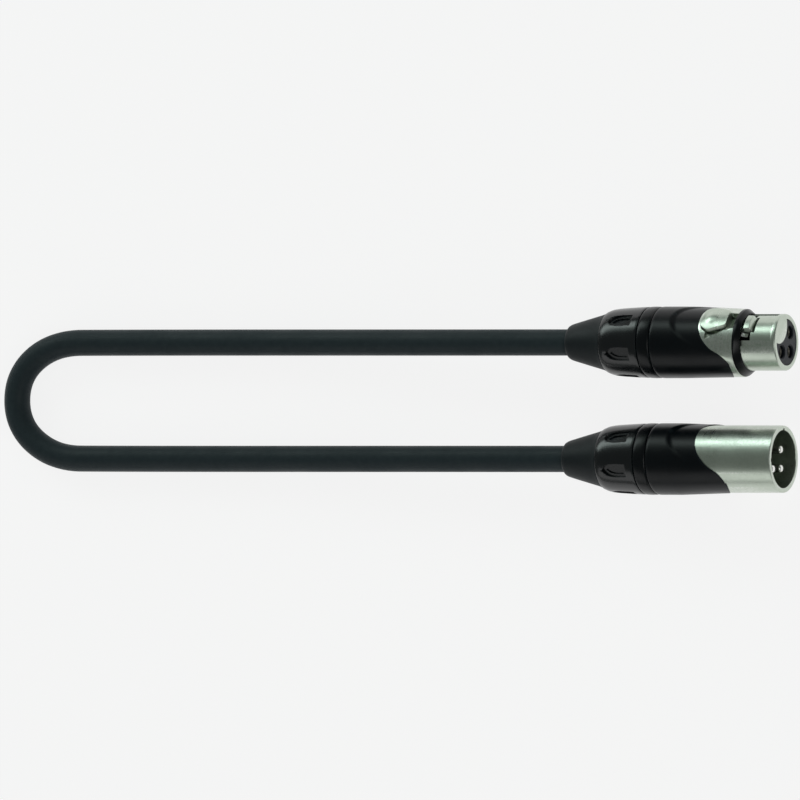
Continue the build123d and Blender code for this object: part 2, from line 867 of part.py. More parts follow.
with BuildPart() as latch_pin:
    with BuildSketch(socket_end.lengthways()):
        with Locations((pivot_u, pivot_v)):
            Circle(pivot_r)
    extrude(amount=pivot_half_length, both=True)
save(latch_pin, "socket_latch_pin")

# a bowed leaf between the insert's flat and the arm
with BuildPart() as latch_spring:
    with BuildSketch(socket_end.lengthways()):
        with BuildLine():
            foot_v = insert_flat_v + seam
            crest_v = arm_bottom_v - seam
            Polyline(
                (leaf_rear_u, foot_v),
                (leaf_rear_u, foot_v + leaf_t),
                (leaf_rear_u + leaf_foot, foot_v + leaf_t),
                (leaf_crest_u - leaf_foot, crest_v),
                (leaf_crest_u + leaf_foot, crest_v),
                (leaf_crest_u + leaf_foot, crest_v - leaf_t),
                (leaf_crest_u - leaf_foot + leaf_t, crest_v - leaf_t),
                (leaf_rear_u + leaf_foot + leaf_t, foot_v),
                close=True,
            )
        make_face()
    extrude(amount=leaf_half_w, both=True)
save(latch_spring, "socket_latch_spring")

# earth spring: a fork laid over the insert, with a finger up each side of the tooth
with BuildPart() as earth_spring:
    for side in (-1, 1):
        with BuildSketch(socket_end.lengthways().offset(side * (finger_inner_w + finger_w / 2))):
            with BuildLine():
                Polyline(
                    (finger_root_u, insert_flat_v + seam),
                    (finger_root_u, insert_flat_v + seam + finger_t),
                    (finger_rise_u, insert_flat_v + seam + finger_t),
                    (finger_top_u, finger_top_v),
                    (finger_end_u, finger_top_v - finger_dip),
                    (finger_end_u, finger_top_v - finger_dip - finger_t),
                    (finger_top_u, finger_top_v - finger_t),
                    (finger_rise_u + finger_t, insert_flat_v + seam),
                    close=True,
                )
            make_face()
        extrude(amount=finger_w / 2, both=True)
    with BuildSketch(socket_end.facing(0, insert_flat_v + seam)):
        with Locations(((finger_root_u + finger_bridge_u) / 2, 0)):
            Rectangle(finger_bridge_u - finger_root_u, 2 * (finger_inner_w + finger_w))
    extrude(amount=finger_t)
save(earth_spring, "socket_earth_spring")

# ---------------------------------------------------------------- cable


def cord_point(end, back, sideways, height):
    """A point of the cable, `back` behind the boot's rim and `sideways` outwards of the axis."""
    outwards = 1 if end.axis_y > 0 else -1
    return (end.rear_x - back, end.axis_y + outwards * sideways, height)


# the bend and the runs beside it, on the floor, then up to each boot
cord_points = [
    cord_point(socket_end, -jacket_end_u, 0, axis_z),
    cord_point(socket_end, 21.5, 0, axis_z),
    cord_point(socket_end, 76, 0.05, 5.9),
    cord_point(socket_end, 121, 0.08, 3.85),
    cord_point(socket_end, 147.5, 0.06, cable_r + 0.02),
    (-198.6, axis_spacing / 2, cable_r),
    (-210.1, 7.25, cable_r),
    (-210.1, -7.15, cable_r),
    (-198.4, -axis_spacing / 2, cable_r),
    cord_point(plug_end, 147, 0.07, cable_r + 0.02),
    cord_point(plug_end, 119, 0.09, 3.9),
    cord_point(plug_end, 75, 0.05, 6.0),
    cord_point(plug_end, 21, 0, axis_z),
    cord_point(plug_end, -jacket_end_u, 0, axis_z),
]
corners = [Vector(*point) for point in cord_points]
runs = [ahead - here for here, ahead in zip(corners, corners[1:])]
radii = [
    0.45 * min(before.length, after.length) / tan(radians(before.get_angle(after) / 2))
    for before, after in zip(runs, runs[1:])
]
with BuildPart() as cable:
    with BuildLine():
        route = FilletPolyline(corners, radius=radii)
    with BuildSketch(Plane(origin=route @ 0, z_dir=route % 0)):
        Circle(cable_r)
    sweep()
save(cable, "cable")
print("cable bend radii, mm:", [round(r, 1) for r in radii])
tube_volume = pi * cable_r**2 * route.length
print("cable length, mm:", round(route.length, 1))
print("cable volume share:", round(cable.part.volume / tube_volume, 6))
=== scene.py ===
"""A short microphone lead: a latching socket connector and a pin connector on one cable.

The connectors' pieces are modelled in millimetres in a connector's own frame, in which x
runs forward from the rim of the rubber boot, z points at the key (the side of the latch)
and y lies across, and are then placed in the row frame, in metres.
"""

import logging
import math
from dataclasses import dataclass, field
from enum import Enum
from typing import Callable, Optional, Sequence

import bmesh
import bpy
from bmesh.types import BMEdge, BMesh, BMVert
from mathutils import Matrix, Vector


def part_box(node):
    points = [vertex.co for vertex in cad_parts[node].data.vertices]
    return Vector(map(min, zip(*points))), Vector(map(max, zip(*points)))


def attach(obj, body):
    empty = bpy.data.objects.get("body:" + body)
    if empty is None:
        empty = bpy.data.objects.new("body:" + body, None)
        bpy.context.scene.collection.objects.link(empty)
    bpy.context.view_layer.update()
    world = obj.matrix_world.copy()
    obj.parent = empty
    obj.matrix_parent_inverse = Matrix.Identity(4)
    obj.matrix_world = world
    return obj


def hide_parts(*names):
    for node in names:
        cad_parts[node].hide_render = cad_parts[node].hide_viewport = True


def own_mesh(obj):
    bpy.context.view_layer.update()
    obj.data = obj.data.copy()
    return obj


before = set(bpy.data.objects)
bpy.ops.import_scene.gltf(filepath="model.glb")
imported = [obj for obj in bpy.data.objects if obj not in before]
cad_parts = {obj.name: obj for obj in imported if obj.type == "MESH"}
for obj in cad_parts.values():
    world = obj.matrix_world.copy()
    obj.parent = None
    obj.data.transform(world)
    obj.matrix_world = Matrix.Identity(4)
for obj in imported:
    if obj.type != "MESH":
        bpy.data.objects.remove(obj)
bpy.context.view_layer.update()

LOG = logging.getLogger("lead")

MM = 0.001  # a millimetre, in metres
STEPS = 128  # how many steps make a full turn
FAR = 13.0  # well outside a connector, in millimetres
KEY_SIDE = 3.0  # what lies higher over a connector's axis is on its key side

Point = tuple[float, float]
Place = tuple[float, float, float]
Colour = tuple[float, float, float]
Socket = bpy.types.NodeSocket


# ---------------------------------------------------------------- mesh tools


class Operation(Enum):
    """How one solid is combined with another."""

    CUT = "DIFFERENCE"
    JOIN = "UNION"
    KEEP = "INTERSECT"


def link_object(name: str, data: bpy.types.ID) -> bpy.types.Object:
    """Makes an object of some data and links it to the scene."""
    made = bpy.data.objects.new(name, data)
    bpy.context.scene.collection.objects.link(made)
    return made


def object_of(solid: BMesh, name: str) -> bpy.types.Object:
    """Turns a bmesh into a linked object and frees it.

    Args:
        solid: the mesh, which is freed.
        name: the name of the object and of its mesh.

    Returns:
        The linked object.
    """
    mesh = bpy.data.meshes.new(name)
    solid.to_mesh(mesh)
    solid.free()
    return link_object(name, mesh)


def evaluated(made: bpy.types.Object) -> BMesh:
    """Reads an object's mesh with its modifiers applied, and removes the object.

    Args:
        made: a mesh or curve object.

    Returns:
        A new bmesh of the evaluated shape.
    """
    bpy.context.view_layer.update()
    graph = bpy.context.evaluated_depsgraph_get()
    mesh = bpy.data.meshes.new_from_object(made.evaluated_get(graph))
    solid = bmesh.new()
    solid.from_mesh(mesh)
    bpy.data.meshes.remove(mesh)
    data = made.data
    bpy.data.objects.remove(made)
    if isinstance(data, bpy.types.Curve):
        bpy.data.curves.remove(data)
    else:
        bpy.data.meshes.remove(data)
    return solid


def ranks(keys: Sequence[tuple[float, ...]]) -> list[int]:
    """The place that each key takes when all are put in order."""
    places = [0] * len(keys)
    for place, number in enumerate(sorted(range(len(keys)), key=keys.__getitem__)):
        places[number] = place
    return places


def ordered(solid: BMesh) -> None:
    """Puts a solid's elements in the order of their places, which a boolean leaves open."""
    rank = ranks([tuple(round(value, 5) for value in vert.co) for vert in solid.verts])
    solid.verts.index_update()
    solid.verts.sort(key=lambda vert: rank[vert.index])
    solid.verts.index_update()
    for elements in (solid.edges, solid.faces):
        rank = ranks([tuple(sorted(v.index for v in item.verts)) for item in elements])
        elements.index_update()
        elements.sort(key=lambda item: rank[item.index])
        elements.index_update()


def tidy(solid: BMesh, distance: float = 1e-4) -> BMesh:
    """Merges doubles, drops degenerate faces and turns every face outwards."""
    ordered(solid)
    bmesh.ops.remove_doubles(solid, verts=solid.verts, dist=distance)
    bmesh.ops.dissolve_degenerate(solid, edges=solid.edges, dist=distance)
    bmesh.ops.recalc_face_normals(solid, faces=solid.faces)
    return solid


def combine(body: BMesh, tool: BMesh, how: Operation) -> BMesh:
    """Combines two closed solids; both are used up.

    Args:
        body: the solid that is worked on.
        tool: the solid that cuts, joins or keeps.
        how: what the tool does to the body.

    Returns:
        The combined solid.
    """
    first = object_of(body, "body")
    second = object_of(tool, "tool")
    modifier = first.modifiers.new("combine", "BOOLEAN")
    modifier.operation = how.value
    modifier.solver = "EXACT"
    modifier.object = second
    solid = evaluated(first)
    data = second.data
    bpy.data.objects.remove(second)
    bpy.data.meshes.remove(data)
    return tidy(solid)


def spun(profile: Sequence[Point], steps: int = STEPS, closed: bool = True) -> BMesh:
    """Spins a profile of (x, radius) points about the x axis.

    Args:
        profile: the profile's points in order.
        steps: how many steps make the full turn.
        closed: whether the last point runs back to the first.

    Returns:
        A closed solid of revolution.
    """
    solid = bmesh.new()
    verts = [solid.verts.new((x, 0.0, radius)) for x, radius in profile]
    ends = verts[1:] + verts[:1] if closed else verts[1:]
    edges = [solid.edges.new(pair) for pair in zip(verts, ends)]
    bmesh.ops.spin(
        solid,
        geom=verts + edges,
        cent=(0.0, 0.0, 0.0),
        axis=(1.0, 0.0, 0.0),
        angle=math.tau,
        steps=steps,
        use_merge=True,
    )
    return tidy(solid)


def extruded(solid: BMesh, along: Place) -> BMesh:
    """Extrudes a flat face by a vector into a closed solid."""
    grown = bmesh.ops.extrude_face_region(solid, geom=solid.faces[:])
    ends = [item for item in grown["geom"] if isinstance(item, BMVert)]
    bmesh.ops.translate(solid, verts=ends, vec=along)
    return tidy(solid)


def mirrored(side: Sequence[Point]) -> list[Point]:
    """The other half of an outline that is the same on both sides of the x axis."""
    return [(x, -y) for x, y in reversed(side)]


def raised(solid: BMesh, low: float, high: float) -> BMesh:
    """Makes a prism of a flat face: it is moved to z = `low` and extruded to z = `high`."""
    bmesh.ops.translate(solid, verts=solid.verts, vec=(0.0, 0.0, low))
    return extruded(solid, (0.0, 0.0, high - low))


def prism(outline: Sequence[Point], low: float, high: float) -> BMesh:
    """Extrudes a straight-sided outline of (x, y) points from z = `low` to z = `high`."""
    solid = bmesh.new()
    solid.faces.new([solid.verts.new((x, y, 0.0)) for x, y in outline])
    return raised(solid, low, high)


def block(start: float, end: float, half_width: float, low: float, high: float) -> BMesh:
    """A square bar from x = `start` to x = `end`, between two heights."""
    return prism(((start, -half_width), (end, -half_width), (end, half_width),
                  (start, half_width)), low, high)


def curved_prism(
    outline: Sequence[Point], corners: Sequence[int], low: float, high: float
) -> BMesh:
    """Extrudes a closed outline that runs smoothly through its points.

    Args:
        outline: the outline's (x, y) points in order.
        corners: the numbers of the points that stay sharp.
        low: the height of its foot.
        high: the height of its top.

    Returns:
        A closed prism.
    """
    curve = bpy.data.curves.new("outline", "CURVE")
    curve.dimensions = "2D"
    curve.fill_mode = "BOTH"
    curve.resolution_u = 14
    spline = curve.splines.new("BEZIER")
    spline.bezier_points.add(len(outline) - 1)
    for number, (point, (x, y)) in enumerate(zip(spline.bezier_points, outline)):
        point.co = (x, y, 0.0)
        kind = "VECTOR" if number in corners else "AUTO"
        point.handle_left_type = kind
        point.handle_right_type = kind
    spline.use_cyclic_u = True
    solid = evaluated(link_object("outline", curve))
    bmesh.ops.remove_doubles(solid, verts=solid.verts, dist=1e-5)
    bmesh.ops.dissolve_limit(
        solid, angle_limit=math.radians(0.2), verts=solid.verts, edges=solid.edges
    )
    return raised(solid, low, high)


def slab(outline: Sequence[Point], half: float) -> BMesh:
    """Extrudes a side outline of (x, z) points from y = -`half` to y = `half`."""
    solid = prism([(x, -z) for x, z in outline], -half, half)
    solid.transform(Matrix.Rotation(-math.pi / 2, 4, "X"))
    return tidy(solid)


def rod(radius: float, low: float, high: float, y: float = 0.0, z: float = 0.0) -> BMesh:
    """A round bar along x at (y, z), from x = `low` to x = `high`."""
    solid = bmesh.new()
    bmesh.ops.create_cone(
        solid,
        cap_ends=True,
        segments=64,
        radius1=radius,
        radius2=radius,
        depth=high - low,
        matrix=Matrix.Translation(((low + high) / 2, y, z)) @ Matrix.Rotation(math.pi / 2, 4, "Y"),
    )
    bmesh.ops.recalc_face_normals(solid, faces=solid.faces)
    return solid


def turned(solid: BMesh, degrees: float) -> BMesh:
    """Turns a solid about x, away from the key towards +y."""
    solid.transform(Matrix.Rotation(-math.radians(degrees), 4, "X"))
    return solid


def sharp(edge: BMEdge, degrees: float) -> bool:
    """Whether an edge's two faces meet at more than `degrees`."""
    return len(edge.link_faces) == 2 and edge.calc_face_angle(0.0) > math.radians(degrees)


def rounded(solid: BMesh, edges: list[BMEdge], width: float, segments: int) -> BMesh:
    """Rounds some edges of a solid.

    Args:
        solid: the solid, in millimetres.
        edges: the edges to round.
        width: how far the rounding reaches from each edge.
        segments: how many faces make the rounding.

    Returns:
        The same solid.
    """
    bmesh.ops.bevel(
        solid,
        geom=edges,
        offset=width,
        offset_type="OFFSET",
        affect="EDGES",
        segments=segments,
        profile=0.5,
        material=-1,
        clamp_overlap=True,
    )
    return solid


def soften(
    solid: BMesh,
    width: float,
    over: float = 30.0,
    segments: int = 2,
    where: Optional[Callable[[Vector], bool]] = None,
) -> BMesh:
    """Rounds the sharp edges of a solid.

    Args:
        solid: the solid, in millimetres.
        width: how far the rounding reaches from each edge.
        over: the angle in degrees past which an edge is rounded.
        segments: how many faces make the rounding.
        where: a test of an edge's middle; edges that fail it stay sharp.

    Returns:
        The same solid.
    """
    chosen = []
    for edge in solid.edges:
        middle = (edge.verts[0].co + edge.verts[1].co) / 2
        if sharp(edge, over) and (where is None or where(middle)):
            chosen.append(edge)
    return rounded(solid, chosen, width, segments)


# ---------------------------------------------------------------- shader groups


def new_group(name: str, inputs: dict[str, float], outputs: dict[str, str]) -> bpy.types.NodeTree:
    """Starts a shader node group with number inputs and the given outputs.

    Args:
        name: the group's name.
        inputs: each input's name and its default.
        outputs: each output's name and its socket type.

    Returns:
        The group's tree, with its input and output nodes in place.
    """
    tree = bpy.data.node_groups.new(name, "ShaderNodeTree")
    for label, default in inputs.items():
        made = tree.interface.new_socket(label, in_out="INPUT", socket_type="NodeSocketFloat")
        made.default_value = default
    for label, kind in outputs.items():
        tree.interface.new_socket(label, in_out="OUTPUT", socket_type=kind)
    tree.nodes.new("NodeGroupInput").name = "in"
    tree.nodes.new("NodeGroupOutput").name = "out"
    return tree


@dataclass
class Graph:
    """Adds nodes to a tree and joins them."""

    tree: bpy.types.NodeTree

    def node(self, kind: str, **settings: object) -> bpy.types.Node:
        """A new node of a kind, with its settings."""
        made = self.tree.nodes.new(kind)
        for label, value in settings.items():
            setattr(made, label, value)
        return made

    def join(self, source: Socket, target: Socket) -> None:
        """Runs a link from one socket to another."""
        self.tree.links.new(source, target)

    def feed(self, target: Socket, value: "Socket | float") -> None:
        """Links a socket to a target, or sets the target's number."""
        if isinstance(value, bpy.types.NodeSocket):
            self.join(value, target)
        else:
            target.default_value = value

    def maths(self, how: str, first: "Socket | float", second: "Socket | float" = 0.0) -> Socket:
        """The result of a Math node."""
        made = self.node("ShaderNodeMath", operation=how)
        self.feed(made.inputs[0], first)
        self.feed(made.inputs[1], second)
        return made.outputs[0]

    def noise(
        self, where: Socket, scale: "Socket | float", detail: float = 3.0, rough: float = 0.5
    ) -> Socket:
        """Noise at some coordinates, as a number from 0 to 1."""
        made = self.node("ShaderNodeTexNoise")
        self.join(where, made.inputs["Vector"])
        self.feed(made.inputs["Scale"], scale)
        made.inputs["Detail"].default_value = detail
        made.inputs["Roughness"].default_value = rough
        return made.outputs["Fac"]

    def spread(
        self,
        value: Socket,
        low: "Socket | float",
        high: "Socket | float",
        to_low: "Socket | float" = 0.0,
        to_high: "Socket | float" = 1.0,
    ) -> Socket:
        """Maps a number from one range to another, held at both ends."""
        made = self.node("ShaderNodeMapRange", clamp=True)
        for target, given in zip(made.inputs, (value, low, high, to_low, to_high)):
            self.feed(target, given)
        return made.outputs["Result"]

    def tint(self, mask: Socket, first: "Colour | Socket", second: "Colour | Socket") -> Socket:
        """Mixes two colours by a mask."""
        made = self.node("ShaderNodeMix", data_type="RGBA")
        self.join(mask, made.inputs["Factor"])
        for target, given in ((made.inputs[6], first), (made.inputs[7], second)):
            if isinstance(given, bpy.types.NodeSocket):
                self.join(given, target)
            else:
                target.default_value = (*given, 1.0)
        return made.outputs[2]

    def place(self, stretch: Place = (1.0, 1.0, 1.0)) -> Socket:
        """Object coordinates, stretched."""
        where = self.node("ShaderNodeTexCoord").outputs["Object"]
        mapping = self.node("ShaderNodeMapping")
        mapping.inputs["Scale"].default_value = stretch
        self.join(where, mapping.inputs["Vector"])
        return mapping.outputs["Vector"]

    def group(self, tree: bpy.types.NodeTree, **values: float) -> bpy.types.Node:
        """A group's node with its own values."""
        made = self.node("ShaderNodeGroup", node_tree=tree)
        for label, value in values.items():
            made.inputs[label].default_value = value
        return made


def grain_group() -> bpy.types.NodeTree:
    """Moulded grain: a height for bump and a fleck mask, both at a given size."""
    tree = new_group(
        "moulded grain",
        {"Scale": 4000.0, "Fleck Scale": 900.0},
        {"Height": "NodeSocketFloat", "Fleck": "NodeSocketFloat"},
    )
    g = Graph(tree)
    given = tree.nodes["in"].outputs
    where = g.place()
    fine = g.noise(where, given["Scale"], 2.0, 0.6)
    coarse = g.noise(where, given["Fleck Scale"], 3.0, 0.55)
    g.join(g.maths("ADD", g.maths("MULTIPLY", fine, 0.7), g.maths("MULTIPLY", coarse, 0.3)),
           tree.nodes["out"].inputs["Height"])
    g.join(g.spread(coarse, 0.35, 0.7), tree.nodes["out"].inputs["Fleck"])
    return tree


def handling_group() -> bpy.types.NodeTree:
    """Marks of handling: wide smears and small scuffs, as masks."""
    tree = new_group(
        "handling marks",
        {"Smear Scale": 90.0, "Scuff Scale": 700.0},
        {"Smear": "NodeSocketFloat", "Scuff": "NodeSocketFloat"},
    )
    g = Graph(tree)
    given = tree.nodes["in"].outputs
    smear = g.noise(g.place(), given["Smear Scale"], 4.0, 0.6)
    scuff = g.noise(g.place((0.35, 1.0, 1.6)), given["Scuff Scale"], 6.0, 0.75)
    g.join(g.spread(smear, 0.38, 0.68), tree.nodes["out"].inputs["Smear"])
    g.join(g.spread(scuff, 0.6, 0.72), tree.nodes["out"].inputs["Scuff"])
    return tree


def wear_group() -> bpy.types.NodeTree:
    """Wear along edges: a mask of the convex edges, broken up by noise."""
    tree = new_group(
        "edge wear",
        {"Reach": 0.06, "Break Scale": 1500.0},
        {"Wear": "NodeSocketFloat"},
    )
    g = Graph(tree)
    given = tree.nodes["in"].outputs
    point = g.node("ShaderNodeNewGeometry").outputs["Pointiness"]
    edge = g.spread(point, 0.52, g.maths("ADD", given["Reach"], 0.53))
    broken = g.spread(g.noise(g.place(), given["Break Scale"], 4.0, 0.6), 0.35, 0.6)
    g.join(g.maths("MULTIPLY", edge, broken), tree.nodes["out"].inputs["Wear"])
    return tree


def turning_group() -> bpy.types.NodeTree:
    """Fine rings left by turning and polishing about the x axis, as a height and a sheen mask."""
    tree = new_group(
        "turning marks",
        {"Ring Scale": 9000.0, "Band Scale": 1200.0},
        {"Height": "NodeSocketFloat", "Sheen": "NodeSocketFloat"},
    )
    g = Graph(tree)
    given = tree.nodes["in"].outputs
    where = g.place((1.0, 0.02, 0.02))
    rings = g.noise(where, given["Ring Scale"], 3.0, 0.7)
    bands = g.noise(where, given["Band Scale"], 2.0, 0.5)
    g.join(rings, tree.nodes["out"].inputs["Height"])
    g.join(g.spread(bands, 0.3, 0.7), tree.nodes["out"].inputs["Sheen"])
    return tree


@dataclass
class ShaderGroups:
    """The node groups that the finishes share, built once."""

    grain: bpy.types.NodeTree = field(default_factory=grain_group)
    handling: bpy.types.NodeTree = field(default_factory=handling_group)
    wear: bpy.types.NodeTree = field(default_factory=wear_group)
    turning: bpy.types.NodeTree = field(default_factory=turning_group)


# ---------------------------------------------------------------- finishes


@dataclass(frozen=True)
class Finish:
    """A finish: its colours and how rough, grainy and worn it is.

    Grain is in millimetres of depth, and the scales are in cells to the metre.
    """

    slot: str
    colour: Colour
    second: Colour
    worn: Colour
    roughness: float
    rough_spread: float = 0.08
    metallic: float = 0.0
    specular: float = 0.5
    ior: float = 1.5
    sheen: float = 0.0
    coat: float = 0.0
    coat_roughness: float = 0.1
    grain_scale: float = 4000.0
    grain_depth: float = 0.02
    wear_reach: float = 0.06
    scuffs: float = 0.06
    polish: float = 0.05
    rings: float = 0.0

    def material(self, groups: ShaderGroups) -> bpy.types.Material:
        """Builds the finish's material.

        Args:
            groups: the node groups shared by all finishes.

        Returns:
            A material with the finish's own values in those groups.
        """
        made = bpy.data.materials.new(self.slot)
        made.use_nodes = True
        made.node_tree.nodes.clear()
        g = Graph(made.node_tree)
        shader = g.node("ShaderNodeBsdfPrincipled")
        g.join(shader.outputs["BSDF"], g.node("ShaderNodeOutputMaterial").inputs["Surface"])
        grain = g.group(groups.grain, Scale=self.grain_scale)
        grain.inputs["Fleck Scale"].default_value = self.grain_scale / 5
        handling = g.group(groups.handling)
        wear = g.group(groups.wear, Reach=self.wear_reach)
        base = g.tint(grain.outputs["Fleck"], self.colour, self.second)
        base = g.tint(wear.outputs["Wear"], base, self.worn)
        g.join(base, shader.inputs["Base Color"])
        rough = g.spread(
            handling.outputs["Smear"],
            0.0,
            1.0,
            self.roughness,
            min(1.0, self.roughness + self.rough_spread),
        )
        scuffs = g.maths("MULTIPLY", handling.outputs["Scuff"], self.scuffs)
        rough = g.maths("ADD", rough, scuffs)
        height = grain.outputs["Height"]
        if self.rings:
            turning = g.group(groups.turning)
            rings = g.maths("MULTIPLY", turning.outputs["Height"], self.rings)
            height = g.maths("ADD", height, rings)
            sheen = g.maths("MULTIPLY", turning.outputs["Sheen"], self.polish)
            rough = g.maths("ADD", rough, sheen)
        g.join(rough, shader.inputs["Roughness"])
        bump = g.node("ShaderNodeBump")
        bump.inputs["Strength"].default_value = 1.0
        bump.inputs["Distance"].default_value = self.grain_depth * MM
        g.join(height, bump.inputs["Height"])
        g.join(bump.outputs["Normal"], shader.inputs["Normal"])
        shader.inputs["Metallic"].default_value = self.metallic
        shader.inputs["IOR"].default_value = self.ior
        shader.inputs["Specular IOR Level"].default_value = self.specular
        shader.inputs["Sheen Weight"].default_value = self.sheen
        shader.inputs["Coat Weight"].default_value = self.coat
        shader.inputs["Coat Roughness"].default_value = self.coat_roughness
        return made


FINISHES = (
    Finish("jacket", (0.018, 0.029, 0.034), (0.022, 0.034, 0.039), (0.030, 0.042, 0.048),
           roughness=0.50, rough_spread=0.10, specular=0.2, sheen=0.03,
           grain_scale=2600.0, grain_depth=0.015),
    Finish("boot_rubber", (0.0045, 0.0085, 0.0105), (0.006, 0.0105, 0.013), (0.016, 0.022, 0.025),
           roughness=0.50, rough_spread=0.08, specular=0.25, sheen=0.03,
           grain_scale=3800.0, grain_depth=0.02),
    Finish("bushing_plastic",
           (0.0010, 0.0022, 0.0035), (0.0016, 0.003, 0.0046), (0.012, 0.017, 0.021),
           roughness=0.20, rough_spread=0.06, specular=0.5, coat=0.10, coat_roughness=0.12,
           grain_scale=5000.0, grain_depth=0.004),
    Finish("ring_plastic",
           (0.0008, 0.0018, 0.0030), (0.0014, 0.0026, 0.004), (0.010, 0.015, 0.018),
           roughness=0.25, rough_spread=0.06, specular=0.24,
           grain_scale=5000.0, grain_depth=0.006),
    Finish("grip_plastic",
           (0.0006, 0.0018, 0.0032), (0.0012, 0.0028, 0.0045), (0.010, 0.015, 0.019),
           roughness=0.28, rough_spread=0.08, specular=0.22,
           grain_scale=4200.0, grain_depth=0.010),
    Finish("nickel", (0.50, 0.56, 0.48), (0.54, 0.60, 0.52), (0.66, 0.70, 0.64),
           roughness=0.26, rough_spread=0.07, metallic=1.0,
           grain_scale=5200.0, grain_depth=0.006, rings=0.5),
    Finish("insert_plastic", (0.006, 0.009, 0.014), (0.009, 0.012, 0.018), (0.02, 0.025, 0.032),
           roughness=0.45, rough_spread=0.08, specular=0.25,
           grain_scale=4200.0, grain_depth=0.010),
    # A darker, rougher copy of the contact metal for the socket's sleeves: painted shade for the
    # sleeves down in the insert's holes.
    Finish("shaded_sleeve_metal", (0.16, 0.15, 0.13), (0.20, 0.19, 0.16), (0.26, 0.25, 0.22),
           roughness=0.45, rough_spread=0.08, metallic=1.0,
           grain_scale=6000.0, grain_depth=0.003, rings=0.4),
    Finish("contact_metal", (0.80, 0.80, 0.76), (0.86, 0.86, 0.83), (0.92, 0.92, 0.90),
           roughness=0.14, rough_spread=0.08, metallic=1.0,
           grain_scale=6000.0, grain_depth=0.003, rings=0.4),
    Finish("clamp_plastic", (0.72, 0.71, 0.66), (0.76, 0.75, 0.70), (0.82, 0.81, 0.77),
           roughness=0.40, specular=0.5, grain_scale=3000.0, grain_depth=0.01),
    Finish("core_red", (0.45, 0.02, 0.02), (0.50, 0.03, 0.025), (0.6, 0.1, 0.09),
           roughness=0.42, grain_scale=3000.0, grain_depth=0.008),
    Finish("core_white", (0.72, 0.72, 0.68), (0.76, 0.76, 0.72), (0.82, 0.82, 0.8),
           roughness=0.42, grain_scale=3000.0, grain_depth=0.008),
    Finish("drain_copper", (0.72, 0.40, 0.24), (0.78, 0.46, 0.30), (0.85, 0.55, 0.40),
           roughness=0.30, metallic=1.0, grain_scale=2500.0, grain_depth=0.03),
    Finish("spring_steel", (0.50, 0.50, 0.48), (0.56, 0.56, 0.54), (0.68, 0.68, 0.66),
           roughness=0.28, metallic=1.0, grain_scale=5000.0, grain_depth=0.006),
)


# ---------------------------------------------------------------- placing pieces


@dataclass(frozen=True)
class Connector:
    """One connector's frame, read from its boot: where it lies and how its key is turned."""

    name: str
    key_roll: float = 44.0

    def rear(self) -> Vector:
        """The middle of the boot's rim, in metres."""
        low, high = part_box(f"{self.name}_boot")
        return Vector((low.x, (low.y + high.y) / 2, (low.z + high.z) / 2))

    def matrix(self) -> Matrix:
        """From this connector's millimetres to the row frame's metres."""
        roll = Matrix.Rotation(-math.radians(self.key_roll), 4, "X")
        return Matrix.Translation(self.rear()) @ roll @ Matrix.Scale(MM, 4)


@dataclass
class Workshop:
    """Dresses finished solids: finish, place, body and the CAD nodes they stand for."""

    materials: dict[str, bpy.types.Material]

    def piece(
        self,
        solid: BMesh,
        name: str,
        connector: Connector,
        slot: str,
        body: str,
        nodes: Sequence[str],
        smooth: float = 32.0,
        finish: str = "",
    ) -> None:
        """Places a solid in the row frame and dresses it.

        Args:
            solid: the piece in its connector's millimetres; it is freed.
            name: the piece's name.
            connector: the connector that it belongs to.
            slot: the record's material slot.
            body: the body that it rides on.
            nodes: the CAD nodes that it replaces.
            smooth: the angle in degrees past which an edge stays crisp.
            finish: its finish, where that isn't the slot's own.
        """
        solid.transform(connector.matrix())
        for face in solid.faces:
            face.smooth = True
        made = object_of(solid, name)
        made.data.set_sharp_from_angle(angle=math.radians(smooth))
        made.data.materials.append(self.materials[finish or slot])
        weighted = made.modifiers.new("weighted", "WEIGHTED_NORMAL")
        weighted.keep_sharp = True
        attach(made, body)
        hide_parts(*nodes)
        LOG.info("%s: %d faces on %s", name, len(made.data.polygons), body)

    def dress(self, node: str, slot: str) -> None:
        """Gives a CAD node its finish."""
        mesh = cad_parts[node].data
        mesh.materials.clear()
        mesh.materials.append(self.materials[slot])
        LOG.info("%s: dressed in %s", node, slot)


# ---------------------------------------------------------------- camera and light


@dataclass(frozen=True)
class Lamp:
    """A soft light: its place and size in metres, how brightly it glows and its colour."""

    name: str
    where: Place
    size: Point
    glow: float
    colour: Colour = (1.0, 1.0, 1.0)


LAMPS = (
    Lamp("far light", (-0.50, 1.0, 0.66), (1.6, 0.5), 0.85, (0.80, 1.0, 0.93)),
    Lamp("near light", (-0.50, -1.05, 0.55), (1.6, 0.7), 0.85),
    Lamp("rear light", (-1.25, 1.15, 0.72), (1.2, 0.6), 2.9, (0.88, 1.0, 0.97)),
    Lamp("front light", (1.20, -0.35, 1.3), (1.0, 0.7), 1.9),
)


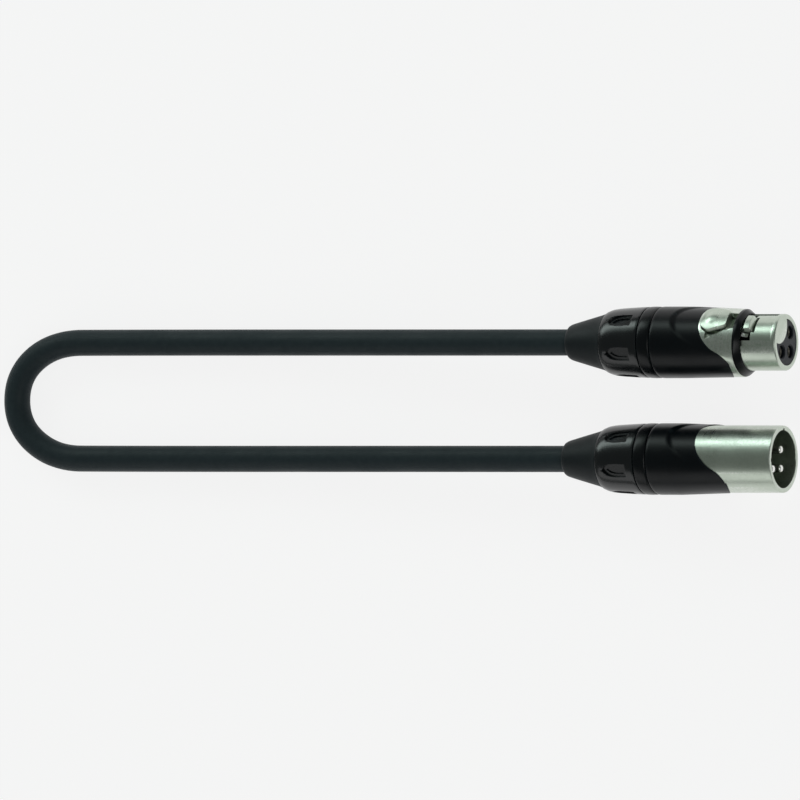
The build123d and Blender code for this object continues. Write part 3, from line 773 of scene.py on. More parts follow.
@dataclass
class Studio:
    """The camera, the pale floor and the soft lights, in metres, degrees and lens millimetres."""

    tilt: float = 26.0
    frame_width: float = 0.2253
    across: float = -0.0820
    up: float = 0.00020
    plane: float = 0.006
    lens: float = 1400.0
    sensor: float = 36.0
    clip: Point = (0.05, 20.0)
    lamp_aim: Place = (-0.08, 0.0, 0.0)
    floor_radius: float = 2.6
    floor_colour: Colour = (0.93, 0.93, 0.93)
    floor_roughness: float = 0.9
    floor_specular: float = 0.2
    floor_glow: float = 0.85
    room_colour: Colour = (0.92, 1.0, 0.95)
    room_glow: float = 0.16

    def add_camera(self) -> None:
        """A long lens that looks down on the lead, tilted towards its connectors."""
        data = bpy.data.cameras.new("camera")
        data.lens = self.lens
        data.sensor_width = self.sensor
        data.clip_start, data.clip_end = self.clip
        made = link_object("camera", data)
        angle = math.radians(self.tilt)
        away = Vector((math.sin(angle), 0.0, math.cos(angle)))
        x = (self.across + math.sin(angle) * self.plane) / math.cos(angle)
        target = Vector((x, self.up, self.plane))
        made.location = target + away * (self.frame_width * self.lens / self.sensor)
        side = Vector((math.cos(angle), 0.0, -math.sin(angle)))
        turn = Matrix((side, Vector((0.0, 1.0, 0.0)), away)).transposed()
        made.rotation_euler = turn.to_euler()
        bpy.context.scene.camera = made

    def floor_material(self) -> bpy.types.Material:
        """Matt paper that also glows a little where the camera or a gloss sees it."""
        made = bpy.data.materials.new("floor")
        made.use_nodes = True
        made.node_tree.nodes.clear()
        g = Graph(made.node_tree)
        paper = g.node("ShaderNodeBsdfPrincipled")
        paper.inputs["Base Color"].default_value = (*self.floor_colour, 1.0)
        paper.inputs["Roughness"].default_value = self.floor_roughness
        paper.inputs["Specular IOR Level"].default_value = self.floor_specular
        glow = g.node("ShaderNodeEmission")
        glow.inputs["Strength"].default_value = 1.0
        mix = g.node("ShaderNodeMixShader")
        path = g.node("ShaderNodeLightPath")
        rays = g.maths("MAXIMUM", path.outputs["Is Camera Ray"], path.outputs["Is Glossy Ray"])
        rays = g.maths("MAXIMUM", rays, path.outputs["Is Transmission Ray"])
        g.join(g.maths("MULTIPLY", rays, self.floor_glow), mix.inputs["Fac"])
        g.join(paper.outputs["BSDF"], mix.inputs[1])
        g.join(glow.outputs["Emission"], mix.inputs[2])
        g.join(mix.outputs["Shader"], g.node("ShaderNodeOutputMaterial").inputs["Surface"])
        return made

    def add_floor(self) -> None:
        """A round pale floor under the lead."""
        solid = bmesh.new()
        bmesh.ops.create_circle(solid, cap_ends=True, segments=96, radius=self.floor_radius)
        floor = object_of(solid, "floor")
        floor.data.materials.append(self.floor_material())

    def add_light(self, lamp: Lamp) -> None:
        """A soft rectangular light that faces the lead."""
        data = bpy.data.lights.new(lamp.name, "AREA")
        data.shape = "RECTANGLE"
        data.size, data.size_y = lamp.size
        data.energy = lamp.glow * math.pi * data.size * data.size_y
        data.color = lamp.colour
        made = link_object(lamp.name, data)
        made.location = lamp.where
        facing = Vector(self.lamp_aim) - Vector(lamp.where)
        made.rotation_euler = facing.to_track_quat("-Z", "Y").to_euler()

    def add_room(self) -> None:
        """The dim room round the lights."""
        world = bpy.data.worlds.new("room")
        world.use_nodes = True
        sky = world.node_tree.nodes["Background"]
        sky.inputs["Color"].default_value = (*self.room_colour, 1.0)
        sky.inputs["Strength"].default_value = self.room_glow
        bpy.context.scene.world = world

    def build(self) -> None:
        """Sets the whole studio up."""
        self.add_camera()
        self.add_floor()
        for lamp in LAMPS:
            self.add_light(lamp)
        self.add_room()
        bpy.context.scene.view_settings.view_transform = "Standard"


# ---------------------------------------------------------------- cable


@dataclass
class Cable:
    """The jacketed cable, in metres: one U on the floor between the two boots."""

    radius: float = 0.0037
    length: float = 0.4334
    route: tuple[Place, ...] = (
        (-0.0020, 0.01635, 0.01005),
        (-0.0545, 0.01635, 0.01005),
        (-0.1090, 0.01640, 0.00590),
        (-0.1540, 0.01643, 0.00385),
        (-0.1805, 0.01641, 0.00372),
        (-0.1986, 0.01635, 0.00370),
        (-0.2101, 0.00725, 0.00370),
        (-0.2101, -0.00715, 0.00370),
        (-0.1984, -0.01635, 0.00370),
        (-0.1811, -0.01642, 0.00372),
        (-0.1531, -0.01644, 0.00390),
        (-0.1091, -0.01640, 0.00600),
        (-0.0551, -0.01635, 0.01005),
        (-0.0031, -0.01635, 0.01005),
    )

    def build(self, shop: Workshop) -> None:
        """Lays the cable as one smooth spline."""
        curve = bpy.data.curves.new("jacket_cable", "CURVE")
        curve.dimensions = "3D"
        curve.resolution_u = 24
        curve.bevel_depth = self.radius
        curve.bevel_resolution = 10
        curve.use_fill_caps = True
        spline = curve.splines.new("NURBS")
        spline.points.add(len(self.route) - 1)
        for point, co in zip(spline.points, self.route):
            point.co = (*co, 1.0)
        spline.order_u = 3
        spline.use_endpoint_u = True
        made = link_object("jacket_cable", curve)
        curve.materials.append(shop.materials["jacket"])
        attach(made, "lead")
        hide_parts("cable")
        LOG.info("jacket_cable: %.3f m long", self.length)


# ---------------------------------------------------------------- boot, bushing and ring


@dataclass
class Boot:
    """The rubber boot: a rounded nose, a long flare and the spigot inside the bushing."""

    bore: float = 3.75
    outer: tuple[Point, ...] = (
        (0.0, 4.08), (0.14, 4.42), (0.42, 4.78), (0.92, 5.05), (1.6, 5.28), (2.6, 5.56),
        (4.0, 5.95), (6.0, 6.50), (8.0, 7.04), (9.6, 7.47), (10.8, 7.80), (11.4, 8.02),
        (11.9, 8.24), (12.2, 8.36), (12.36, 8.36), (12.4, 8.26),
    )
    spigot: tuple[Point, ...] = ((12.4, 7.2), (13.2, 7.2), (13.2, 8.0), (14.0, 8.0))

    def build(self, shop: Workshop, connector: Connector) -> None:
        """Spins the boot and dresses it."""
        rim = ((0.12, self.bore), (0.0, self.bore + 0.12))
        profile = (*rim, *self.outer, *self.spigot, (14.0, self.bore))
        body = f"{connector.name}_boot_body"
        shop.piece(spun(profile), f"{connector.name}_boot_sleeve", connector,
                   "boot_rubber", body, [f"{connector.name}_boot"], smooth=40.0)


@dataclass
class Bushing:
    """The screwed bushing, with bullet-shaped windows round it.

    The ogive gives a window's pointed end as shares of its length and half width, and
    each window is carved in steps of (margin, depth, flare).
    """

    skin: tuple[Point, ...] = (
        (12.45, 8.46), (12.49, 8.60), (12.62, 8.70), (12.95, 8.83), (13.45, 9.02),
        (14.1, 9.22), (15.2, 9.40), (16.8, 9.57), (18.7, 9.69), (20.6, 9.80), (22.6, 9.90),
        (24.0, 9.95), (24.48, 9.95), (24.68, 9.86), (24.75, 9.70),
    )
    hollow: tuple[Point, ...] = (
        (24.75, 7.75), (19.15, 7.75), (19.15, 6.95), (18.0, 6.95), (14.2, 4.95),
        (14.05, 4.95), (14.05, 8.05), (13.15, 8.05), (13.15, 7.25), (12.45, 7.25),
    )
    windows: int = 6
    first_turn: float = -4.0
    tip: float = 15.0
    end: float = 22.3
    width: float = 3.6
    arch: float = 3.4
    middle: float = 18.7
    floor: float = 8.95
    lean: float = 5.0
    ogive: tuple[Point, ...] = ((0.35, 0.645), (0.7, 0.93), (1.0, 1.0))
    carving: tuple[Place, ...] = ((0.0, 0.0, 0.16), (0.75, 0.45, 0.22))

    def window(self, margin: float, depth: float, flare: float) -> BMesh:
        """A bullet-shaped cutter that widens outwards.

        Args:
            margin: how far inside the window's outline it stays.
            depth: how far below the window's floor it reaches.
            flare: how much its top is wider than its foot, as a share.

        Returns:
            The cutter, standing over the key side.
        """
        half = self.width / 2 - margin
        tip = self.tip - self.middle + 1.6 * margin
        end = self.end - self.middle - margin
        arch = self.arch - 0.6 * margin
        upper = [(tip + along * arch, out * half) for along, out in self.ogive] + [(end, half)]
        solid = curved_prism([(tip, 0.0), *upper, *mirrored(upper)], (0, 4, 5), 0.0, 3.0)
        tops = [vert for vert in solid.verts if vert.co.z > 1.0]
        bmesh.ops.scale(solid, verts=tops, vec=(1 + flare, 1 + 2 * flare, 1.0))
        lean = Matrix.Rotation(-math.radians(self.lean), 4, "Y")
        solid.transform(Matrix.Translation((self.middle, 0.0, self.floor - depth)) @ lean)
        return solid

    def build(self, shop: Workshop, connector: Connector) -> None:
        """Spins the bushing, cuts its windows and dresses it."""
        solid = spun((*self.skin, *self.hollow), 144)
        for number in range(self.windows):
            turn = self.first_turn + 360.0 * number / self.windows
            for margin, depth, flare in self.carving:
                cutter = turned(self.window(margin, depth, flare), turn)
                solid = combine(solid, cutter, Operation.CUT)
        solid = tidy(solid, distance=0.01)
        soften(solid, width=0.10, over=38.0, segments=2, where=self.on_window)
        name = connector.name
        shop.piece(solid, f"{name}_bushing_nut", connector, "bushing_plastic",
                   f"{name}_bushing_body", [f"{name}_bushing"], smooth=42.0)

    def on_window(self, middle: Vector) -> bool:
        """Whether an edge's middle lies on a window."""
        along = self.tip - 0.5 < middle.x < self.end + 0.7
        return along and math.hypot(middle.y, middle.z) > self.floor - 0.95


@dataclass
class MarkerRing:
    """The slightly domed ring between the bushing and the grip."""

    profile: tuple[Point, ...] = (
        (24.80, 8.27), (24.80, 9.62), (24.88, 9.74), (25.08, 9.90), (25.45, 10.0),
        (26.1, 10.04), (26.75, 10.05), (27.4, 10.04), (28.05, 10.0), (28.40, 9.90),
        (28.58, 9.74), (28.65, 9.62), (28.65, 8.27),
    )

    def build(self, shop: Workshop, connector: Connector) -> None:
        """Spins the ring and dresses it."""
        name = connector.name
        shop.piece(spun(self.profile), f"{name}_collar_ring", connector, "ring_plastic",
                   "lead", [f"{name}_marker_ring"], smooth=42.0)


# ---------------------------------------------------------------- grip and shells


@dataclass
class GripOutline:
    """The outlines that a grip and its shell share, on the key side and away from it.

    The steps of the tongue are (ahead, out) places, in millimetres, and those of the
    scoop's edge are (ahead, turn) places, in millimetres and degrees from the key.
    """

    rear: float = 28.7
    scoop_at: float = 35.1
    tongue_at: float = 43.5
    collar: float = 54.3
    lobe: float = 52.7
    lobe_width: float = 9.71
    heel: float = 50.0
    heel_width: float = 6.0
    seat: float = 8.85
    skin: float = 9.2
    barrel_radius: float = 10.4
    barrel_drop: float = 0.95
    barrel_inset: float = 0.35
    barrel_wide: float = 46.7
    barrel_fall: float = 0.05
    barrel_end: float = 56.3
    tongue_steps: tuple[Point, ...] = ((0.6, 4.0), (3.2, 7.4), (7.3, 9.05))
    scoop_edge: tuple[Point, ...] = (
        (0.0, 0.0), (0.1, 6.5), (0.42, 13.0), (0.95, 19.5), (1.7, 26.0), (2.75, 32.5),
        (4.1, 38.8), (5.8, 45.0), (8.8, 52.5), (13.5, 60.5), (19.2, 67.5), (27.0, 75.0),
    )
    scoop_wall: float = 1.25

    def arch(
        self, start: float, steps: Sequence[Point], width: float, front: float, low: float
    ) -> BMesh:
        """A prism over a smooth arch that opens forward.

        Args:
            start: where the arch's tip lies along the axis.
            steps: how far ahead of the tip, and how far out, the arch passes.
            width: its half width at the front.
            front: where it is cut off square.
            low: the height of the prism's foot.

        Returns:
            The prism, up to well outside the grip.
        """
        upper = [(start + ahead, out) for ahead, out in steps]
        outline = [(front, -width), *mirrored(upper), (start, 0.0), *upper, (front, width)]
        return curved_prism(outline, (0, len(outline) - 1), low, FAR)

    def tongue(self) -> BMesh:
        """What the metal tongue keeps clear of the grip, on the key side."""
        arch = self.arch(self.tongue_at, self.tongue_steps, self.lobe_width, self.lobe, 0.0)
        front = block(self.lobe - 0.01, self.collar + 1, FAR, -0.01, FAR)
        return combine(arch, front, Operation.JOIN)

    def heel_side(self) -> BMesh:
        """What the metal keeps clear of the grip, away from the key."""
        return prism(
            ((self.heel, -self.heel_width), (self.lobe, -self.lobe_width), (self.lobe, -FAR),
             (self.collar + 1, -FAR), (self.collar + 1, FAR), (self.lobe, FAR),
             (self.lobe, self.lobe_width), (self.heel, self.heel_width)), -FAR, 0.01,
        )

    def barrel(self, x: float) -> float:
        """The radius of the wide, low barrel that flattens the key side."""
        return self.barrel_radius - self.barrel_fall * max(0.0, x - self.barrel_wide)

    def outside_barrel(self) -> BMesh:
        """All that lies outside the barrel, as a cutter."""
        start, end = self.scoop_at, self.barrel_end
        core = spun(((start - 1, 0.0), (start - 1, self.barrel_radius),
                     (self.barrel_wide, self.barrel_radius), (end + 1, self.barrel(end + 1)),
                     (end + 1, 0.0)), 160, closed=False)
        core.transform(Matrix.Translation((0.0, 0.0, -self.barrel_drop)))
        ring = spun(((start, 3.0), (start, FAR), (end, FAR), (end, 3.0)))
        return combine(ring, core, Operation.CUT)

    def scoop_share(self, x: float, turn: float) -> float:
        """How far a place on the grip is pressed down to the barrel.

        Args:
            x: the place along the axis.
            turn: its angle from the key, in degrees.

        Returns:
            0 outside the scoop, 1 inside it, and between them on its sloping wall.
        """
        radius = self.barrel_radius - self.barrel_inset
        here = Vector((x, radius * math.radians(turn)))
        edge = [Vector((self.scoop_at + ahead, radius * math.radians(t)))
                for ahead, t in self.scoop_edge]
        nearest, side = FAR, 1.0
        for start, end in zip(edge, edge[1:]):
            run = end - start
            along = min(1.0, max(0.0, (here - start).dot(run) / run.length_squared))
            away = here - (start + along * run)
            if away.length < nearest:
                nearest = away.length
                side = math.copysign(1.0, away.x * run.y - away.y * run.x)
        share = min(1.0, max(0.0, 0.5 + side * nearest / self.scoop_wall))
        smooth = share * share * (3 - 2 * share)
        return smooth * 0.5 + share * 0.5

    def zone(self, seat: float) -> BMesh:
        """The room that the grip fills round the shell."""
        solid = spun(((self.rear - 0.5, seat), (self.rear - 0.5, FAR),
                      (self.collar, FAR), (self.collar, seat)))
        solid = combine(solid, self.tongue(), Operation.CUT)
        return combine(solid, self.heel_side(), Operation.CUT)


@dataclass
class Grip:
    """The lobed grip: scooped on the key side, cut back round the metal tongue."""

    outline: GripOutline
    front_radius: float
    radius: float = 10.05
    waist: float = 36.0
    flank_start: float = 33.9
    bands: int = 60
    steps: int = 192
    scoop_turn: float = 80.0

    def build(self, shop: Workshop, connector: Connector) -> None:
        """Spins, scoops and rounds the grip, and dresses it."""
        shape = self.outline
        solid = spun((
            (shape.rear, shape.seat + 0.02), (shape.rear, 9.62), (28.78, 9.76),
            (28.95, 9.92), (29.3, 10.03), (29.8, self.radius), (33.6, self.radius),
            *self.flank(), (shape.collar, shape.seat + 0.02),
        ), self.steps)
        self.press_scoop(solid)
        solid = combine(solid, shape.tongue(), Operation.CUT)
        solid = combine(solid, shape.heel_side(), Operation.CUT)
        solid = tidy(solid, distance=0.015)
        soften(solid, width=0.14, over=40.0, segments=3, where=self.on_cut)
        name = connector.name
        shop.piece(solid, f"{name}_lobed_grip", connector, "grip_plastic", "lead",
                   [f"{name}_grip"], smooth=36.0)

    def flank(self) -> list[Point]:
        """The flank's profile in narrow bands, from before the scoop to the collar."""
        start, end = self.flank_start, self.outline.collar
        places = [start + (end - start) * n / self.bands for n in range(self.bands + 1)]
        fall = (self.radius - self.front_radius) / (end - self.waist)
        return [(x, self.radius - fall * max(0.0, x - self.waist)) for x in places]

    def press_scoop(self, solid: BMesh) -> None:
        """Presses the key side down to the barrel, inside the scoop's edge."""
        shape = self.outline
        for vert in solid.verts:
            x, y, z = vert.co
            out = math.hypot(y, z)
            turn = math.degrees(math.atan2(abs(y), z))
            if x < self.flank_start - 0.1 or out < shape.seat + 0.1 or turn > self.scoop_turn:
                continue
            drop = shape.barrel_drop
            low = math.sqrt(shape.barrel(x) ** 2 - (drop * y / out) ** 2) - drop * z / out
            if low < out:
                share = shape.scoop_share(x, turn)
                size = (out - share * (out - low)) / out
                vert.co = (x, y * size, z * size)

    def on_cut(self, middle: Vector) -> bool:
        """Whether an edge's middle lies on an outer cut edge and not on the grip's seat."""
        return middle.x > 30.5 and math.hypot(middle.y, middle.z) > self.outline.seat + 0.25


@dataclass(frozen=True)
class Thread:
    """The end of a shell's tail and the screw thread that follows it."""

    bore: float = 6.95
    rim: float = 7.2
    start: float = 19.2
    bevel: float = 0.4
    first: float = 20.1
    pitch: float = 1.5
    turns: int = 3
    root: float = 7.1
    crest: float = 7.62
    groove: tuple[float, ...] = (0.0, 0.5, 0.7, 1.2)

    def profile(self) -> list[Point]:
        """The tail's end and its thread, as (x, radius) points."""
        radii = (self.crest, self.root, self.root, self.crest)
        points = [(self.start, self.bore), (self.start, self.rim),
                  (self.start + self.bevel, self.crest)]
        for number in range(self.turns):
            x = self.first + self.pitch * number
            points += [(x + ahead, radius) for ahead, radius in zip(self.groove, radii)]
        return points


@dataclass
class PlugShell:
    """The plug's metal shell: tail, tongue and an open mouth with two guide grooves."""

    outline: GripOutline
    radius: float = 9.45
    mouth: float = 8.1
    bore: float = 6.95
    face: float = 67.3
    floor: float = 53.9
    groove_turn: float = 46.0
    groove_start: float = 57.3
    groove_depth: float = 8.6

    def build(self, shop: Workshop, connector: Connector) -> None:
        """Spins and cuts the shell, and dresses it."""
        shape = self.outline
        solid = spun((
            *Thread().profile(), (24.75, 7.7), (24.75, 8.2), (shape.rear, 8.2),
            (shape.rear, self.radius), (66.92, self.radius), (67.12, 9.41), (67.24, 9.30),
            (67.3, 9.16), (67.3, 8.32), (67.24, 8.2), (67.1, self.mouth),
            (self.floor, self.mouth), (self.floor, 6.5), (53.4, 6.5), (53.4, self.bore),
        ))
        solid = combine(solid, shape.zone(shape.seat), Operation.CUT)
        for turn in (-self.groove_turn, self.groove_turn):
            groove = block(self.groove_start, self.face + 0.7, 0.5, 7.0, self.groove_depth)
            solid = combine(solid, turned(groove, turn), Operation.CUT)
        solid = tidy(solid, distance=0.012)
        soften(solid, width=0.12, over=28.0, segments=2, where=self.outside)
        shop.piece(solid, "plug_metal_shell", connector, "nickel", "lead", ["plug_shell"])

    def outside(self, middle: Vector) -> bool:
        """Whether an edge's middle lies on the tongue's edge or a groove's end."""
        out = math.hypot(middle.y, middle.z)
        on_tongue = out > self.outline.skin and middle.x < self.outline.collar + 0.7
        on_face = out > self.mouth - 0.2 and middle.x > self.face - 0.4
        return on_tongue or on_face


@dataclass
class SocketShell:
    """The socket's metal shell: scooped, slotted for the latch, with a recessed nose."""

    outline: GripOutline
    collar: float = 9.75
    nose: float = 7.95
    bore: float = 6.95
    lip: float = 6.5
    face: float = 67.1
    recess_turn: float = 52.0
    recess_radius: float = 7.45
    recess_end: float = 65.6
    cut_from: float = 42.0
    cut_to: float = 66.0
    slot_rear: float = 45.05
    slot_front: float = 60.3
    slot_half_width: float = 2.8
    window_front: float = 59.1
    window_half_width: float = 4.8
    opening_foot: float = 0.5
    boss_at: float = 61.3
    moon: float = 5.2
    moon_rise: float = 6.9
    land_rear: float = 46.0
    land_foot: float = 7.5
    land_top: float = 9.1
    pocket: float = 7.5
    latch_gap: float = 0.3

    def blank(self) -> BMesh:
        """The shell before it is cut: tail, seats, collar, nose and lip."""
        shape = self.outline
        return spun((
            *Thread().profile(), (24.75, 7.7), (24.75, 8.2), (shape.rear, 8.2),
            (shape.rear, self.collar), (54.08, self.collar), (54.22, 9.70), (54.3, 9.56),
            (54.3, self.nose), (66.62, self.nose), (66.84, 7.88), (67.02, 7.70),
            (67.1, 7.48), (67.1, 6.66), (67.05, 6.54), (66.95, self.lip), (66.6, self.lip),
            (66.6, self.bore),
        ))

    def recess(self) -> BMesh:
        """What is cut away along the key side of the nose."""
        start = self.outline.collar
        ring = spun(((start, self.recess_radius), (start, FAR),
                     (self.recess_end, FAR), (self.recess_end, self.recess_radius)))
        reach = 2.5 * FAR
        across = reach * math.sin(math.radians(self.recess_turn))
        up = reach * math.cos(math.radians(self.recess_turn))
        wedge = bmesh.new()
        wedge.faces.new([wedge.verts.new(co) for co in
                         ((50.0, 0.0, 0.0), (50.0, across, up), (50.0, -across, up))])
        return combine(ring, extruded(wedge, (20.0, 0.0, 0.0)), Operation.KEEP)

    def boss(self) -> BMesh:
        """The half-moon of metal between the two upper contacts."""
        disc = rod(self.bore + 0.03, self.boss_at, self.face - 0.04)
        moon = rod(self.moon, self.boss_at - 1, self.face + 1, z=self.moon_rise)
        return combine(disc, moon, Operation.KEEP)

    def land(self) -> BMesh:
        """The flat that rises from behind the thumb pad to the collar, as a cutter."""
        rear, front = self.land_rear, self.outline.collar
        return slab(((rear, self.land_foot), (front, self.land_top), (front, FAR),
                     (rear, FAR)), FAR)

    def build(self, shop: Workshop, connector: Connector) -> None:
        """Cuts the shell from its blank and dresses it."""
        shape = self.outline
        solid = combine(self.blank(), shape.zone(shape.seat), Operation.CUT)
        solid = combine(solid, shape.outside_barrel(), Operation.CUT)
        solid = combine(solid, self.boss(), Operation.JOIN)
        solid = combine(solid, self.recess(), Operation.CUT)
        solid = combine(solid, self.land(), Operation.CUT)
        pocket = pad_blank(self.latch_gap, self.pocket)
        solid = combine(solid, pocket, Operation.CUT)
        for start, end, half_width in (
            (self.slot_rear, self.slot_front, self.slot_half_width),
            (shape.collar, self.window_front, self.window_half_width),
        ):
            opening = block(start, end, half_width, self.opening_foot, FAR)
            solid = combine(solid, opening, Operation.CUT)
        solid = tidy(solid, distance=0.012)
        soften(solid, width=0.12, over=24.0, segments=2, where=self.outside)
        shop.piece(solid, "socket_metal_shell", connector, "nickel", "lead", ["socket_shell"])

    def outside(self, middle: Vector) -> bool:
        """Whether an edge's middle lies on an outer edge that a cut has left."""
        out = math.hypot(middle.y, middle.z)
        if middle.x < self.cut_from or middle.x > self.cut_to:
            return False
        return out > self.outline.skin or (middle.z > KEY_SIDE and out > self.recess_radius - 0.15)


@dataclass
class NoseRing:
    """The black cone round the foot of the socket's nose."""

    outline: GripOutline
    profile: tuple[Point, ...] = (
        (54.33, 8.0), (54.33, 9.50), (54.38, 9.61), (54.46, 9.62), (54.58, 9.56),
        (55.4, 8.92), (56.1, 8.36), (56.25, 8.22), (56.3, 8.12), (56.3, 8.0),
    )
    flat_rim: Point = (8.6, 9.58)

    def build(self, shop: Workshop, connector: Connector) -> None:
        """Spins the ring, flattens its key side and dresses it."""
        solid = combine(spun(self.profile), self.outline.outside_barrel(), Operation.CUT)
        solid = tidy(solid, distance=0.01)
        soften(solid, width=0.1, over=30.0, segments=2, where=self.on_flat)
        shop.piece(solid, "socket_nose_cone", connector, "ring_plastic", "lead",
                   ["socket_nose_ring"])

    def on_flat(self, middle: Vector) -> bool:
        """Whether an edge's middle lies on the flattened side's rim."""
        low, high = self.flat_rim
        return middle.z > KEY_SIDE and low < math.hypot(middle.y, middle.z) < high


# ---------------------------------------------------------------- latch


PAD_OUTLINE = ((44.7, -3.0), (46.7, -4.3), (52.4, -2.7), (52.4, 2.7), (46.7, 4.3), (44.7, 3.0))
PAD_MIDDLE = (PAD_OUTLINE[0][0] + PAD_OUTLINE[2][0]) / 2
PAD_CORNER = 0.8


def pad_blank(margin: float, low: float) -> BMesh:
    """A prism over the thumb pad's outline, with rounded corners.

    Args:
        margin: how far outside the outline it reaches.
        low: the height of its foot.

    Returns:
        The prism, up to well outside the connector.
    """
    solid = prism(PAD_OUTLINE, low, FAR)
    uprights = [e for e in solid.edges if abs(e.verts[0].co.z - e.verts[1].co.z) > 1.0]
    rounded(solid, uprights, PAD_CORNER, 8)
    half_length = PAD_OUTLINE[2][0] - PAD_MIDDLE
    half_width = PAD_OUTLINE[4][1]
    bmesh.ops.scale(
        solid, verts=solid.verts,
        vec=(1 + margin / half_length, 1 + margin / half_width, 1.0),
        space=Matrix.Translation((-PAD_MIDDLE, 0.0, 0.0)),
    )
    return tidy(solid)


@dataclass
class Latch:
    """The socket's latch: an arm with its tooth, a crowned thumb pad and a domed boss.

    The spring's foot is where the leaf under the arm stands, and its keep is the share of its
    height that is left when the pad is pressed home; neither is used.
    """

    pivot: Point = (46.5, 6.9)
    knuckle: float = 1.15
    pin: float = 0.55
    arm_half_width: float = 2.5
    cells: int = 40
    reach: float = 4.7
    pad_foot: float = 8.6
    crown: float = 11.3
    crown_drop: float = 0.95
    boss_at: float = 47.4
    boss: float = 2.5
    boss_top: float = 10.65
    boss_fall: float = 0.6
    blend: float = 0.06
    tooth: float = 8.6
    spring_foot: Point = (48.1, 3.87)
    spring_keep: float = 0.6

    def arm(self) -> BMesh:
        """The arm with its tooth, from its side profile; the tooth's top is rounded across."""
        x, z = self.pivot
        solid = slab((
            (x, z - self.knuckle), (49.5, 5.55), (59.7, 5.55), (59.7, 6.75), (58.8, self.tooth),
            (57.1, self.tooth), (57.1, 6.75), (51.9, 6.75), (51.9, 9.1), (x, 9.1),
        ), self.arm_half_width)
        ring = spun(((56.9, self.tooth), (56.9, FAR), (60.0, FAR), (60.0, self.tooth)))
        solid = tidy(combine(solid, ring, Operation.CUT), distance=0.01)
        return soften(solid, width=0.16, over=30.0, segments=3)

    def crossbar(self, radius: float, half: float) -> BMesh:
        """A round bar through the pivot, across the latch."""
        bar = rod(radius, -half, half)
        bar.transform(Matrix.Rotation(math.pi / 2, 4, "Z"))
        bar.transform(Matrix.Translation((self.pivot[0], 0.0, self.pivot[1])))
        return bar

    def height(self, x: float, y: float) -> float:
        """The height of the pad's crown, with the thumb boss raised on it.

        Args:
            x: the place along the connector.
            y: the place across it.

        Returns:
            The height over the axis, with the boss's foot blended into the crown.
        """
        crown = math.sqrt(self.crown ** 2 - y ** 2) - self.crown_drop
        out = math.hypot(x - self.boss_at, y) / self.boss
        dome = self.boss_top - self.boss_fall * out ** 2
        gap = max(0.0, self.blend - abs(crown - dome)) / self.blend
        return max(crown, dome) + self.blend * gap ** 2 / 4

    def pad(self) -> BMesh:
        """The thumb pad: rounded corners, crowned across, with a domed boss."""
        cushion = bmesh.new()
        bmesh.ops.create_grid(
            cushion, x_segments=self.cells, y_segments=self.cells, size=self.reach,
            matrix=Matrix.Translation((PAD_MIDDLE, 0.0, 0.0)),
        )
        raised(cushion, self.pad_foot - 1.0, FAR - 1.0)
        for vert in cushion.verts:
            if vert.co.z > self.pad_foot:
                vert.co.z = self.height(vert.co.x, vert.co.y)
        solid = combine(cushion, pad_blank(0.0, self.pad_foot), Operation.KEEP)
        return soften(tidy(solid, distance=0.01), width=0.09, over=40.0, segments=2)

    def build(self, shop: Workshop, connector: Connector) -> None:
        """Joins the latch's parts and dresses it."""
        knuckle = self.crossbar(self.knuckle, self.arm_half_width)
        solid = combine(self.arm(), knuckle, Operation.JOIN)
        solid = combine(solid, self.pad(), Operation.JOIN)
        solid = combine(solid, self.crossbar(self.pin, 6.0), Operation.CUT)
        shop.piece(solid, "socket_thumb_latch", connector, "nickel", "latch",
                   ["socket_latch"], smooth=36.0)
        self.flatten_spring(connector)

    def flatten_spring(self, connector: Connector) -> None:
        """Gives the leaf under the arm its own copy of its mesh."""
        matrix = connector.matrix()
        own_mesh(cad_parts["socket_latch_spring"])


# ---------------------------------------------------------------- inserts and contacts


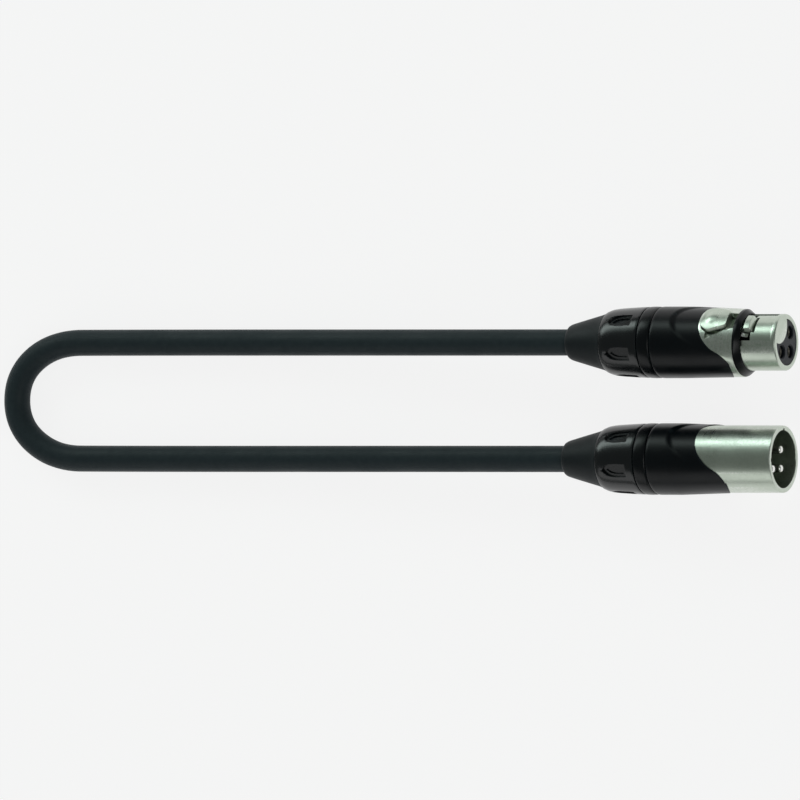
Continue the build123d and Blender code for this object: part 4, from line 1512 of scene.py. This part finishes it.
@dataclass
class Contacts:
    """Where a connector's three contacts stand, and the pieces that carry them."""

    circle: float = 3.81
    cup_at: float = 39.6
    insert_at: float = 44.0
    insert: float = 6.9
    head_at: float = 50.0
    cup: float = 1.5
    cup_bore: float = 0.95
    cup_depth: float = 2.5
    steps: int = 48
    flat: float = 3.85
    flat_end: float = 61.25
    scallop: float = 5.25

    def turns(self, connector: Connector) -> dict[int, float]:
        """Each contact's turn from the key; a plug's contacts mirror a socket's."""
        side = 1.0 if connector.name == "socket" else -1.0
        return {1: 90.0 * side, 2: -90.0 * side, 3: 180.0}

    def stand(self, solid: BMesh, turn: float) -> BMesh:
        """Moves a solid from the axis out to a contact's place."""
        solid.transform(Matrix.Translation((0.0, 0.0, self.circle)))
        return turned(solid, turn)

    def cup_profile(self) -> tuple[Point, ...]:
        """The solder cup, from its bottom to its outer rim."""
        floor = self.cup_at + self.cup_depth
        return ((floor, 0.0), (floor, self.cup_bore), (self.cup_at, self.cup_bore),
                (self.cup_at, self.cup))

    def add_pins(self, shop: Workshop, connector: Connector) -> None:
        """The plug's three pins, with rounded tips."""
        for number, turn in self.turns(connector).items():
            profile = (
                *self.cup_profile(), (49.95, self.cup), (49.95, 1.35), (53.9, 1.35),
                (53.9, 1.195), (64.75, 1.195), (65.0, 1.16), (65.22, 1.05), (65.4, 0.88),
                (65.52, 0.66), (65.58, 0.36), (65.6, 0.0),
            )
            pin = self.stand(spun(profile, self.steps, closed=False), turn)
            shop.piece(pin, f"plug_pin_{number}", connector, "contact_metal", "lead",
                       [f"plug_contact_{number}"], smooth=40.0)

    def add_sleeves(self, shop: Workshop, connector: Connector) -> None:
        """The socket's three sleeves, with flared mouths, in a darker copy of the contact metal
        that paints the shade of the holes they sit in.
        """
        for number, turn in self.turns(connector).items():
            profile = (
                *self.cup_profile(), (50.05, self.cup), (50.05, 1.75), (65.8, 1.75),
                (65.9, 1.66), (65.9, 1.42), (65.7, 1.28), (65.4, 1.22), (55.4, 1.22),
                (55.4, 0.0),
            )
            sleeve = self.stand(spun(profile, self.steps, closed=False), turn)
            # The sleeves take the darker copy of the contact metal, as painted shade inside their
            # holes.
            shop.piece(sleeve, f"socket_sleeve_{number}", connector, "contact_metal", "lead",
                       [f"socket_contact_{number}"], smooth=40.0, finish="shaded_sleeve_metal")

    def drilled(self, solid: BMesh, turn: float, rear: float, head: float, end: float,
                mouth: float) -> BMesh:
        """Drills one contact's stepped, countersunk hole through an insert.

        Args:
            solid: the insert, which is used up.
            turn: the contact's turn from the key.
            rear: the hole's radius behind the contact's head.
            head: its radius ahead of that.
            end: where the insert ends along the axis.
            mouth: how wide the countersink is.

        Returns:
            The drilled insert.
        """
        profile = (
            (self.insert_at - 1, 0.0), (self.insert_at - 1, rear), (self.head_at, rear),
            (self.head_at, head), (end - mouth, head), (end + 0.01, head + mouth),
            (end + 1, head + mouth), (end + 1, 0.0),
        )
        drill = self.stand(spun(profile, self.steps, closed=False), turn)
        return combine(solid, drill, Operation.CUT)

    def add_plug_insert(self, shop: Workshop, connector: Connector) -> None:
        """The plug's insert, which closes the mouth's floor."""
        rear, radius = self.insert_at, self.insert
        solid = spun(((rear, 0.0), (rear, radius), (53.35, radius), (53.35, 6.45),
                      (53.82, 6.45), (53.9, 6.37), (53.9, 0.0)), 96, closed=False)
        for turn in self.turns(connector).values():
            solid = self.drilled(solid, turn, 1.55, 1.4, 53.9, 0.12)
        shop.piece(solid, "plug_insert_block", connector, "insert_plastic", "lead",
                   ["plug_insert"])

    def add_socket_insert(self, shop: Workshop, connector: Connector) -> None:
        """The socket's insert: three countersunk holes and a scallop round the boss."""
        rear, radius = self.insert_at, self.insert
        solid = spun(((rear, 0.0), (rear, radius), (66.55, radius), (66.55, 6.45),
                      (66.80, 6.45), (66.9, 6.35), (66.9, 0.0)), 96, closed=False)
        flat = block(40.0, self.flat_end, 9.0, self.flat, FAR)
        solid = combine(solid, flat, Operation.CUT)
        scallop = rod(self.scallop, self.flat_end, 70.0, z=self.insert)
        solid = combine(solid, scallop, Operation.CUT)
        for turn in self.turns(connector).values():
            solid = self.drilled(solid, turn, 1.55, 1.8, 66.9, 0.3)
        shop.piece(solid, "socket_insert_block", connector, "insert_plastic", "lead",
                   ["socket_insert"])


# ---------------------------------------------------------------- the whole lead


INNER_FINISHES = {
    "cable_clamp": "clamp_plastic",
    "core_1": "drain_copper",
    "core_2": "core_red",
    "core_3": "core_white",
}


def main() -> None:
    """Builds the studio, the cable, both connectors and their insides."""
    logging.basicConfig(level=logging.INFO, format="%(message)s")
    groups = ShaderGroups()
    shop = Workshop({finish.slot: finish.material(groups) for finish in FINISHES})
    Studio().build()
    Cable().build(shop)
    socket, plug = Connector("socket"), Connector("plug")
    outline = GripOutline()
    contacts = Contacts()
    for connector in (socket, plug):
        Boot().build(shop, connector)
        Bushing().build(shop, connector)
        MarkerRing().build(shop, connector)
    Grip(outline, 9.75).build(shop, socket)
    Grip(outline, 9.45).build(shop, plug)
    PlugShell(outline).build(shop, plug)
    SocketShell(outline).build(shop, socket)
    NoseRing(outline).build(shop, socket)
    Latch().build(shop, socket)
    contacts.add_pins(shop, plug)
    contacts.add_sleeves(shop, socket)
    contacts.add_plug_insert(shop, plug)
    contacts.add_socket_insert(shop, socket)
    for connector in (socket, plug):
        for part, slot in INNER_FINISHES.items():
            shop.dress(f"{connector.name}_{part}", slot)
    shop.dress("socket_latch_pin", "spring_steel")
    shop.dress("socket_latch_spring", "spring_steel")
    shop.dress("socket_earth_spring", "contact_metal")


if __name__ == "__main__":
    main()
